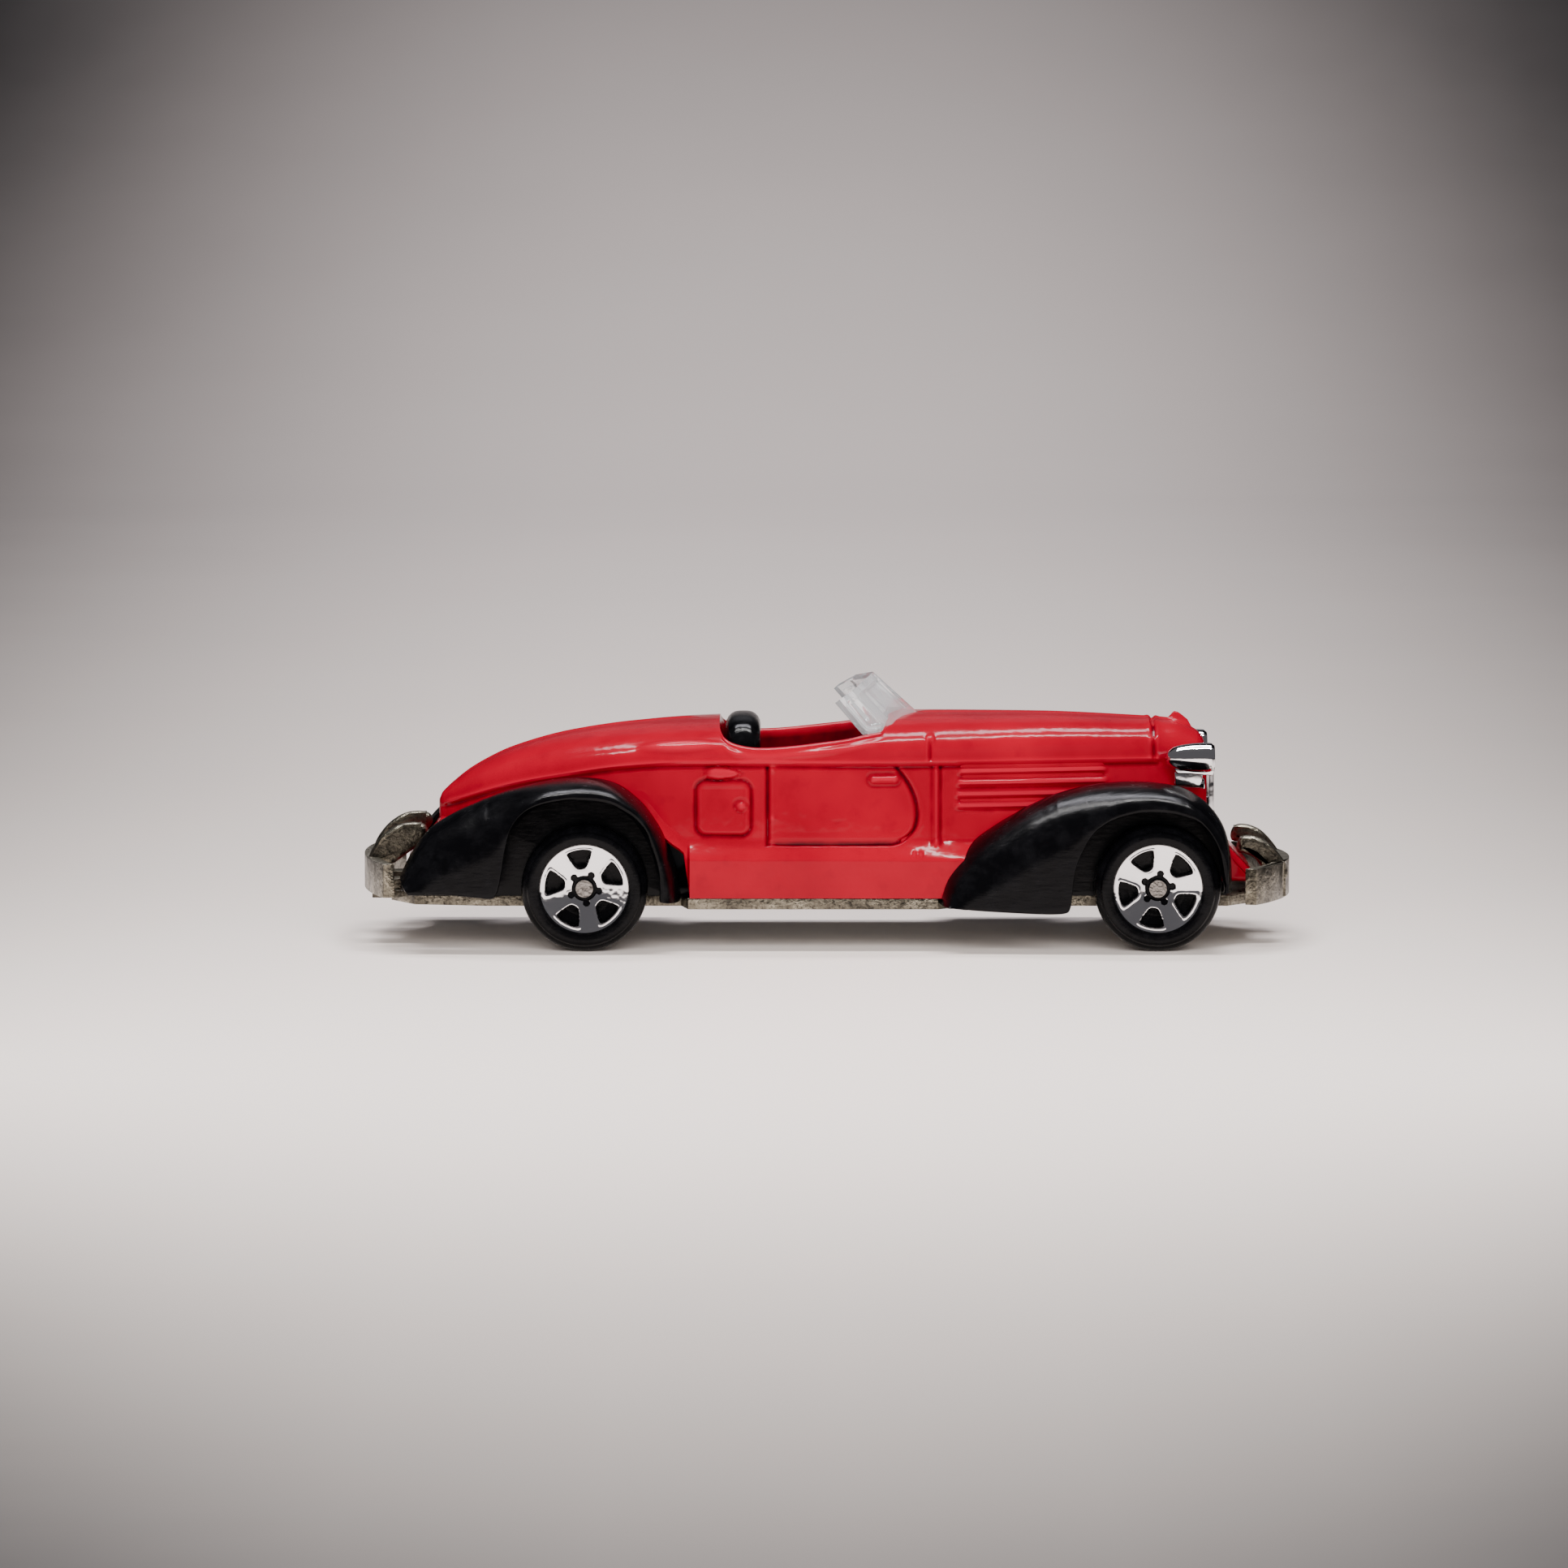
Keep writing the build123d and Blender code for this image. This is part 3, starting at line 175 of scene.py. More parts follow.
def softened(source, name, material, width, body="car"):
    # a copy of the plain piece with its edges broken by a small radius
    mesh = nodes[source].data.copy()
    mesh.transform(nodes[source].matrix_world)
    build = bmesh.new()
    build.from_mesh(mesh)
    bmesh.ops.remove_doubles(build, verts=build.verts, dist=1e-6)
    bmesh.ops.dissolve_limit(build, angle_limit=radians(0.6), verts=build.verts, edges=build.edges)
    build.to_mesh(mesh)
    build.free()
    mesh.polygons.foreach_set("use_smooth", np.ones(len(mesh.polygons), bool))
    mesh.materials.clear()
    mesh.materials.append(material)
    obj = bpy.data.objects.new(name, mesh)
    bpy.context.scene.collection.objects.link(obj)
    bevel = obj.modifiers.new("brokenEdges", "BEVEL")
    bevel.width = width * mm
    bevel.segments = 2
    bevel.limit_method = "ANGLE"
    bevel.angle_limit = radians(32)
    bevel.harden_normals = True
    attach(obj, body)
    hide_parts(source)
    return obj


def turned(profile, count, centre=(0, 0, 0), flat=1.0):
    # a profile of (x, radius) points carried round an axis along X through the centre, squashed
    # upright by `flat`: (x, radius x cos, flat x radius x sin)
    angle = np.linspace(0, 2 * pi, count, endpoint=False)
    p = np.array(profile, float)
    x = np.repeat(p[:, 0][:, None], count, axis=1)
    grid = np.stack([x, p[:, 1][:, None] * np.cos(angle), flat * p[:, 1][:, None] * np.sin(angle)], axis=-1)
    return (grid + np.array(centre)).reshape(-1, 3), gridFaces(len(p), count, wrapCols=True), []


# Materials

def hexToLinear(code):
    c = np.array([int(code[i:i + 2], 16) for i in (0, 2, 4)]) / 255
    lin = np.where(c <= 0.04045, c / 12.92, ((c + 0.055) / 1.055) ** 2.4)
    return (*lin.tolist(), 1.0)


def addNode(tree, kind, links=None, **settings):
    # one node with its settings; links: socket -> value or (node, socket)
    node = tree.nodes.new(kind)
    for key, value in settings.items():
        setattr(node, key, value)
    for key, value in (links or {}).items():
        socket = node.inputs[key]
        if isinstance(value, tuple) and len(value) == 2 and hasattr(value[0], "outputs"):
            tree.links.new(value[0].outputs[value[1]], socket)
        else:
            socket.default_value = value
    return node


def rampStops(node, stops):
    ramp = node.color_ramp
    while len(ramp.elements) < len(stops):
        ramp.elements.new(0.5)
    for element, (place, colour) in zip(ramp.elements, stops):
        element.position = place
        element.color = colour
    return node


def grey(v):
    return (v, v, v, 1.0)


def newMaterial(name):
    material = bpy.data.materials.new(name)
    material.use_nodes = True
    tree = material.node_tree
    shader = tree.nodes["Principled BSDF"]
    return material, tree, shader


def noiseFor(tree, sizeMm, detail=3, rough=0.55, stretch=(1, 1, 1)):
    # noise on Object coordinates whose features are about sizeMm across
    place = addNode(tree, "ShaderNodeTexCoord")
    spread = addNode(tree, "ShaderNodeMapping", {"Vector": (place, "Object"), "Scale": stretch})
    scale = 1000 / sizeMm
    return addNode(tree, "ShaderNodeTexNoise", {"Vector": (spread, "Vector"), "Scale": scale, "Detail": detail, "Roughness": rough})


def enamelPaint():
    # stoved enamel sprayed on a zinc casting: deep red, wet gloss, slight orange peel; darker in
    # the seams and lighter on the crests, partly as pooled and thinned paint, partly as painted shade and painted
    # highlight
    look = {"pooledAndShaded": "300008", "rich": "860019", "thick": "760015", "thinAndSheen": "930d24", "peelMm": 1.3, "peel": 0.10, "gloss": 0.11}
    material, tree, shader = newMaterial("stovedRedEnamel")
    cloud = noiseFor(tree, 9.0)
    colour = rampStops(addNode(tree, "ShaderNodeValToRGB", {"Fac": (cloud, "Fac")}),
                       [(0.34, hexToLinear(look["thick"])), (0.62, hexToLinear(look["rich"]))])
    relief = addNode(tree, "ShaderNodeAttribute", attribute_name="relief")
    # the coat is a little uneven: depth = relief + 0.3 (noise - 0.5)
    blotch = noiseFor(tree, 1.9, detail=4)
    offset = addNode(tree, "ShaderNodeMath", {0: (blotch, "Fac"), 1: 0.3, 2: -0.15}, operation="MULTIPLY_ADD")
    depth = addNode(tree, "ShaderNodeMath", {0: (relief, "Fac"), 1: (offset, "Value")}, operation="ADD")
    # painted shade, partly pooled paint: low relief (seams, and the walls of the cockpit well) takes the dark colour
    seamShade = rampStops(addNode(tree, "ShaderNodeValToRGB", {"Fac": (depth, "Value")}),
                     [(0.14, grey(0.0)), (0.48, grey(1.0))])
    # painted highlight, partly thin paint: high relief (crests and beads) takes the lighter colour
    crest = rampStops(addNode(tree, "ShaderNodeValToRGB", {"Fac": (relief, "Fac")}),
                      [(0.56, grey(0.0)), (0.86, grey(1.0))])
    dark = addNode(tree, "ShaderNodeMix", {0: (seamShade, "Color"), 6: hexToLinear(look["pooledAndShaded"]), 7: (colour, "Color")}, data_type="RGBA")
    full = addNode(tree, "ShaderNodeMix", {0: (crest, "Color"), 6: (dark, 2), 7: hexToLinear(look["thinAndSheen"])}, data_type="RGBA")
    tree.links.new(full.outputs[2], shader.inputs["Base Color"])
    peel = noiseFor(tree, look["peelMm"], detail=2)
    sag = noiseFor(tree, 5.0, detail=1)
    wave = addNode(tree, "ShaderNodeMath", {0: (peel, "Fac"), 1: (sag, "Fac")}, operation="ADD")
    bump = addNode(tree, "ShaderNodeBump", {"Height": (wave, "Value"), "Strength": look["peel"], "Distance": 0.0004})
    tree.links.new(bump.outputs["Normal"], shader.inputs["Normal"])
    tree.links.new(bump.outputs["Normal"], shader.inputs["Coat Normal"])
    haze = noiseFor(tree, 3.0)
    rough = addNode(tree, "ShaderNodeMapRange", {"Value": (haze, "Fac"), "To Min": look["gloss"], "To Max": look["gloss"] + 0.1})
    tree.links.new(rough.outputs["Result"], shader.inputs["Roughness"])
    shader.inputs["IOR"].default_value = 1.16
    shader.inputs["Coat Weight"].default_value = 0.08
    shader.inputs["Coat Roughness"].default_value = 0.03
    return material


def blackMoulding(name, gloss, scuff=0.12, scratchMm=0.25):
    # injection-moulded black polypropylene: glossy, faint sink waves, hairline handling scuffs
    material, tree, shader = newMaterial(name)
    wear = noiseFor(tree, 1.6, detail=5, rough=0.7)
    wipe = noiseFor(tree, scratchMm, detail=4, rough=0.6, stretch=(0.16, 1, 0.7))
    colour = rampStops(addNode(tree, "ShaderNodeValToRGB", {"Fac": (wear, "Fac")}),
                       [(0.45, hexToLinear("030304")), (0.78, hexToLinear("0b0b0d"))])
    tree.links.new(colour.outputs["Color"], shader.inputs["Base Color"])
    both = addNode(tree, "ShaderNodeMath", {0: (wear, "Fac"), 1: (wipe, "Fac")}, operation="MULTIPLY")
    rough = addNode(tree, "ShaderNodeMapRange", {"Value": (both, "Value"), "From Min": 0.12, "From Max": 0.42,
                                                 "To Min": gloss, "To Max": gloss + scuff})
    tree.links.new(rough.outputs["Result"], shader.inputs["Roughness"])
    bump = addNode(tree, "ShaderNodeBump", {"Height": (both, "Value"), "Strength": 0.12, "Distance": 0.0003})
    tree.links.new(bump.outputs["Normal"], shader.inputs["Normal"])
    shader.inputs["IOR"].default_value = 1.2
    return material


def metalPlate(name, colour, rough, waveMm=1.5, wave=0.06, tint=None):
    # bright metal skin over plastic or wire: nearly a mirror, slightly rippled by what is beneath
    material, tree, shader = newMaterial(name)
    ripple = noiseFor(tree, waveMm, detail=2)
    shade = rampStops(addNode(tree, "ShaderNodeValToRGB", {"Fac": (ripple, "Fac")}),
                      [(0.3, hexToLinear(tint or colour)), (0.7, hexToLinear(colour))])
    tree.links.new(shade.outputs["Color"], shader.inputs["Base Color"])
    shader.inputs["Metallic"].default_value = 1.0
    haze = addNode(tree, "ShaderNodeMapRange", {"Value": (ripple, "Fac"), "To Min": rough, "To Max": rough + 0.08})
    tree.links.new(haze.outputs["Result"], shader.inputs["Roughness"])
    bump = addNode(tree, "ShaderNodeBump", {"Height": (ripple, "Fac"), "Strength": wave, "Distance": 0.0004})
    tree.links.new(bump.outputs["Normal"], shader.inputs["Normal"])
    return material


def castZinc():
    # tumbled bare zinc casting: mottled grey with flow marks, dull in patches, pocked at 0.3 mm
    look = {"light": "a8a291", "mid": "7e796b", "dark": "45413b", "speck": "383530", "flowMm": 2.6, "pockMm": 0.35}
    material, tree, shader = newMaterial("bareZincCasting")
    flow = noiseFor(tree, look["flowMm"], detail=6, rough=0.7)
    pock = noiseFor(tree, look["pockMm"], detail=3, rough=0.7)
    shade = rampStops(addNode(tree, "ShaderNodeValToRGB", {"Fac": (flow, "Fac")}),
                      [(0.3, hexToLinear(look["dark"])), (0.5, hexToLinear(look["mid"])), (0.68, hexToLinear(look["light"]))])
    speckle = rampStops(addNode(tree, "ShaderNodeValToRGB", {"Fac": (pock, "Fac")}), [(0.3, grey(0.0)), (0.52, grey(1.0))])
    mottled = addNode(tree, "ShaderNodeMix", {0: (speckle, "Color"), 6: hexToLinear(look["speck"]), 7: (shade, "Color")}, data_type="RGBA")
    tree.links.new(mottled.outputs[2], shader.inputs["Base Color"])
    shader.inputs["Metallic"].default_value = 1.0
    rough = addNode(tree, "ShaderNodeMapRange", {"Value": (flow, "Fac"), "From Min": 0.3, "From Max": 0.7, "To Min": 0.42, "To Max": 0.22})
    tree.links.new(rough.outputs["Result"], shader.inputs["Roughness"])
    both = addNode(tree, "ShaderNodeMath", {0: (flow, "Fac"), 1: (pock, "Fac")}, operation="ADD")
    bump = addNode(tree, "ShaderNodeBump", {"Height": (both, "Value"), "Strength": 0.45, "Distance": 0.00025})
    tree.links.new(bump.outputs["Normal"], shader.inputs["Normal"])
    return material


def clearMoulding():
    # clear polystyrene, gate-fresh: very slightly smoked edges and faint flow ripple
    material, tree, shader = newMaterial("clearPolystyrene")
    ripple = noiseFor(tree, 2.4, detail=2)
    tint = rampStops(addNode(tree, "ShaderNodeValToRGB", {"Fac": (ripple, "Fac")}),
                     [(0.3, hexToLinear("f1f3f5")), (0.7, hexToLinear("fbfcfd"))])
    tree.links.new(tint.outputs["Color"], shader.inputs["Base Color"])
    haze = addNode(tree, "ShaderNodeMapRange", {"Value": (ripple, "Fac"), "To Min": 0.0, "To Max": 0.06})
    tree.links.new(haze.outputs["Result"], shader.inputs["Roughness"])
    bump = addNode(tree, "ShaderNodeBump", {"Height": (ripple, "Fac"), "Strength": 0.05, "Distance": 0.0003})
    tree.links.new(bump.outputs["Normal"], shader.inputs["Normal"])
    shader.inputs["IOR"].default_value = 1.28
    shader.inputs["Transmission Weight"].default_value = 0.84
    return material


def plainMoulding(name, low, high, rough, grainMm=0.6):
    # matt engineering plastic with fine moulding grain
    material, tree, shader = newMaterial(name)
    grain = noiseFor(tree, grainMm, detail=4)
    shade = rampStops(addNode(tree, "ShaderNodeValToRGB", {"Fac": (grain, "Fac")}),
                      [(0.3, hexToLinear(low)), (0.7, hexToLinear(high))])
    tree.links.new(shade.outputs["Color"], shader.inputs["Base Color"])
    dull = addNode(tree, "ShaderNodeMapRange", {"Value": (grain, "Fac"), "To Min": rough - 0.06, "To Max": rough + 0.08})
    tree.links.new(dull.outputs["Result"], shader.inputs["Roughness"])
    bump = addNode(tree, "ShaderNodeBump", {"Height": (grain, "Fac"), "Strength": 0.15, "Distance": 0.0001})
    tree.links.new(bump.outputs["Normal"], shader.inputs["Normal"])
    return material


paint = enamelPaint()
fenderPlastic = blackMoulding("glossBlackPolypropylene", 0.17)
tyrePlastic = blackMoulding("wheelBlackAcetal", 0.22, 0.10)
seatPlastic = blackMoulding("seatBlackPolypropylene", 0.12, 0.08)
zinc = castZinc()
clear = clearMoulding()
chrome = metalPlate("vacuumChrome", "e6e6e8", 0.035, 1.4, 0.10)
foilSkin = metalPlate("hotStampFoil", "ececee", 0.05, 1.1, 0.16)
wireSteel = metalPlate("drawnSteelWire", "a39f9a", 0.34, 0.35, 0.3, tint="7b7773")
screwSteel = metalPlate("zincPlatedSteel", "b9bcc0", 0.25, 0.5, 0.2, tint="8d9095")
springSteel = metalPlate("bluedSpringStrip", "4a5266", 0.28, 1.0, 0.1, tint="39405a")
gearNylon = plainMoulding("naturalNylon", "cfc8b4", "e2dcca", 0.42)
caseAcetal = plainMoulding("darkGreyAcetal", "1d2026", "2b2f37", 0.46)
print("stage: materials made")

cadLook = {
    "chassis_base": zinc, "base_screws": screwSteel, "motor_screws": screwSteel,
    "front_axle": wireSteel, "rear_axle": wireSteel,
    "motor_case_left": caseAcetal, "motor_case_right": caseAcetal, "spring_divider": caseAcetal,
    "axle_pinion": gearNylon, "clutch_gear": gearNylon, "spring_gear": gearNylon,
    "clutch_spindle": wireSteel, "spring_spindle": wireSteel, "mainspring": springSteel,
    "body_shell": paint, "fender_moulding": fenderPlastic, "interior_tub": seatPlastic,
    "windshield": clear, "headlight_grille_trim": chrome,
}
for corner in ("front_left", "front_right", "rear_left", "rear_right"):
    cadLook[corner + "_wheel"] = tyrePlastic
    cadLook[corner + "_wheel_foil"] = foilSkin
for name, material in cadLook.items():
    nodes[name].data.materials.clear()
    nodes[name].data.materials.append(material)


# Car body: one skin, sprayed casting

bodyForm = {
    # station x, belt half width, belt height, crown height, foot half width, squareness of the shoulder
    "stations": [
        (-32.7, 0.3, 11.2, 11.55, 1.0, 2.0), (-32.6, 0.7, 11.25, 11.9, 1.5, 2.0), (-32.2, 1.25, 11.4, 12.4, 2.2, 2.0), (-31.4, 2.1, 11.6, 13.1, 3.2, 2.0),
        (-29.3, 3.7, 12.3, 14.55, 4.8, 2.0), (-26.4, 5.4, 13.2, 15.95, 6.4, 2.0), (-21.6, 7.4, 14.2, 17.3, 8.1, 2.1),
        (-16.2, 8.9, 15.0, 18.1, 9.1, 2.2), (-11.0, 9.8, 15.4, 18.5, 10.0, 2.35), (-4.0, 10.2, 15.4, 18.7, 10.4, 2.5),
        (4.0, 10.0, 15.3, 18.9, 10.4, 2.6), (10.5, 9.1, 15.3, 18.95, 9.6, 2.7), (18.0, 7.8, 15.3, 18.9, 8.4, 2.7),
        (25.0, 6.2, 15.3, 18.6, 7.2, 2.6), (29.0, 4.9, 15.2, 18.3, 6.2, 2.4), (31.0, 3.9, 14.9, 17.5, 5.4, 2.2),
        (31.75, 3.1, 14.4, 16.6, 4.8, 2.0), (31.9, 2.6, 14.0, 15.9, 4.4, 2.0)],
    "cockpit": (-8.8, 4.6), "edge": 0.22, "wall": 0.95, "floor": 8.3,
    "rim": [(-9.4, 17.9), (-8.8, 17.3), (-8.0, 16.75), (-6.6, 16.42), (-5.2, 16.36), (-3.0, 16.5), (-0.4, 16.8), (1.6, 17.05), (3.4, 17.4), (5.2, 17.7)],
    "belt": [(-32.4, 11.2), (-26.7, 13.15), (-21.4, 14.25), (-17.5, 14.95), (-11.0, 15.38), (8.0, 15.35), (27.7, 15.3)],
    "sill": (-11.6, 17.4, 11.75), "ledge": [(-15.4, 11.9), (-14.7, 11.2), (-13.6, 9.8), (-12.4, 8.9), (-11.2, 8.5), (0.0, 8.45), (18.0, 8.4)],
    "louvres": [(14.72, 10.9, 23.3), (13.8, 10.8, 23.4), (12.82, 10.7, 22.6), (11.88, 10.7, 18.6)],
    "seam": 0.16, "thick": 0.35,
    "busy": (-11.0, -8.7, -7.2, -6.35, -5.0, -4.5, 3.4, 5.9, 6.6, 7.3, 8.4, 9.2, 10.8, 23.3, 27.35, 29.6),
}


def followStations(x, column):
    # a monotone smooth curve through the stations' values: cubic with slopes from the neighbours,
    # flattened where they change sign
    s = np.array(bodyForm["stations"])
    px, py = s[:, 0], s[:, column]
    d = np.diff(py) / np.diff(px)
    both = d[:-1] * d[1:]
    even = np.where(both > 0, 2 * both / np.where(both > 0, d[:-1] + d[1:], 1), 0)
    m = np.concatenate([[d[0]], even, [d[-1]]])
    i = np.clip(np.searchsorted(px, x) - 1, 0, len(px) - 2)
    h = px[i + 1] - px[i]
    t = np.clip((x - px[i]) / h, 0, 1)
    return ((2 * t**3 - 3 * t**2 + 1) * py[i] + (t**3 - 2 * t**2 + t) * h * m[i]
            + (3 * t**2 - 2 * t**3) * py[i + 1] + (t**3 - t**2) * h * m[i + 1])


def alongLine(x, points):
    # height of a smooth line of (x, z) points at x
    line = through(points, 400)
    return np.interp(x, line[:, 0], line[:, 1])


def roundedBox(x, z, x0, x1, z0, z1, r):
    # distance from the outline of a rounded rectangle, negative inside
    qx = np.abs(x - (x0 + x1) / 2) - (x1 - x0) / 2 + r
    qz = np.abs(z - (z0 + z1) / 2) - (z1 - z0) / 2 + r
    return np.hypot(np.maximum(qx, 0), np.maximum(qz, 0)) + np.minimum(np.maximum(qx, qz), 0) - r


def doorDistance(x, z):
    # distance from the door's outline: straight behind, curved forward edge, rounded lower corners
    front = 7.45 - 0.115 * np.maximum(z - 11.2, 0) ** 2 - 0.16 * np.maximum(11.2 - z, 0) ** 2
    back = -5.0
    low = 8.85
    q = np.maximum(np.maximum(back - x, (x - front) * 0.93), low - z)
    corner = 1.3
    ax = np.maximum(x - front + corner, 0)
    az = np.maximum(low + corner - z, 0)
    bend = np.hypot(ax, az) - corner
    return np.where((ax > 0) & (az > 0), bend, q)


def sideRelief(x, z):
    # height of everything cast on the side of the body, in mm: the belt line's bead and its
    # shadow groove, seams, louvres, handle, fuel door, knobs and hinges
    f = bodyForm
    w = f["seam"]
    belt = alongLine(x, f["belt"])
    on = smooth(-32.6, -31.8, x) * smooth(28.0, 27.6, x)
    h = on * (0.20 * hump(z, belt + 0.12, 0.20) - 0.17 * hump(z, belt - 0.26, 0.17))
    below = smooth(belt - 0.1, belt - 0.4, z)
    d = doorDistance(x, z)
    h += below * (-0.24 * hump(d, 0, w) + 0.07 * hump(d, -0.42, 0.2) + 0.05 * hump(d, 0.4, 0.16)) * smooth(8.3, 8.7, z)
    d = roundedBox(x, z, -11.0, -6.35, 9.4, 14.05, 0.9)
    h += -0.20 * hump(d, 0, 0.17) + 0.07 * hump(d, -0.4, 0.2)
    h += 0.42 * hump(np.hypot(x + 7.2, z - 11.9), 0, 0.33) - 0.1 * hump(np.hypot(x + 7.2, z - 11.9), 0.55, 0.14)
    # the small raised drop over the fuel door
    drop = np.hypot((x + 8.7) / 1.45, (z - 14.62) / (0.42 * np.clip(1.25 - (x + 8.7) * 0.35, 0.3, 2)))
    h += 0.24 * smooth(1.05, 0.72, drop) - 0.08 * hump(drop, 1.12, 0.12)
    # seam and bead where the bonnet side meets the scuttle
    cowl = smooth(8.5, 8.8, z) * smooth(15.3, 15.0, z)
    h += cowl * (0.17 * hump(x, 9.05, 0.2) - 0.16 * hump(x, 9.38, 0.14) - 0.08 * hump(x, 8.7, 0.14))
    for z0, xa, xb in f["louvres"]:
        end = smooth(xa - 0.25, xa + 0.5, x) * smooth(xb + 0.25, xb - 0.5, x)
        h += end * (0.34 * smooth(0.34, 0.12, np.abs(z - z0)) - 0.07 * hump(np.abs(z - z0), 0.48, 0.12))
    # the handle, standing in a shallow scoop
    d = roundedBox(x, z, 3.5, 5.9, 13.75, 14.45, 0.33)
    h += 0.34 * smooth(0.08, -0.3, d) - 0.12 * hump(d, 0.2, 0.14)
    for zh in (15.0, 10.9, 8.95):
        h += 0.22 * hump(np.hypot((x + 4.62) / 1.0, z - zh), 0, 0.26)
    for xs in (7.2, 7.75):
        h += 0.2 * hump(np.hypot(x - xs, z - 7.95), 0, 0.17)
    # wet paint: a few runs, dimples and nibs
    h += -0.05 * hump(np.hypot(x - 0.9, z - 10.6), 0, 0.22) + 0.05 * hump(np.hypot(x + 15.4, z - 13.1), 0, 0.15)
    h += 0.012 * np.sin(x * 2.9 + 1.3 * np.sin(z * 1.7)) * hump(z, 8.6, 0.2)
    return h


def topRelief(x, y, z):
    # height of what is cast above the belt line: bonnet seams, the centre bead, the mascot's root
    # and the rolled edge of the cockpit
    f = bodyForm
    h = 0.13 * hump(y, 0, 0.28) * (smooth(7.2, 8.6, x) * smooth(31.0, 29.5, x) + smooth(-10.5, -12, x) * smooth(-32.4, -30, x))
    h += -0.2 * hump(x, 27.35, 0.15) + 0.08 * hump(x, 27.0, 0.18) + 0.08 * hump(x, 27.7, 0.18)
    side = smooth(15.5, 15.8, z) * smooth(17.7, 17.3, z)
    h += side * (-0.17 * hump(x, 8.55, 0.13) + 0.12 * hump(x, 8.3, 0.16))
    h += 0.28 * hump(np.hypot(x - 8.6, z - 17.35), 0, 0.26)
    h += 0.22 * hump(np.hypot(x - 27.25, z - 17.0), 0, 0.28)
    # the mascot, a drop cast in one with the bonnet's nose
    h += 0.62 * hump(y, 0, 0.34) * smooth(28.7, 29.3, x) * smooth(30.75, 30.45, x) * (1 - 0.35 * smooth(29.4, 30.5, x))
    # the rolled edge beside the seats, ending behind in a long drop
    rim = alongLine(np.clip(x, -9.3, 5.2), f["rim"])
    edge = smooth(-9.2, -7.6, x) * smooth(4.9, 3.6, x)
    h += edge * 0.16 * hump(z, rim - 0.45, 0.3)
    fall = np.hypot((x + 12.2) / 3.9, (z - (16.72 + 0.05 * (x + 12.2))) / 0.5)
    h += 0.3 * smooth(1.1, 0.35, fall)
    return h


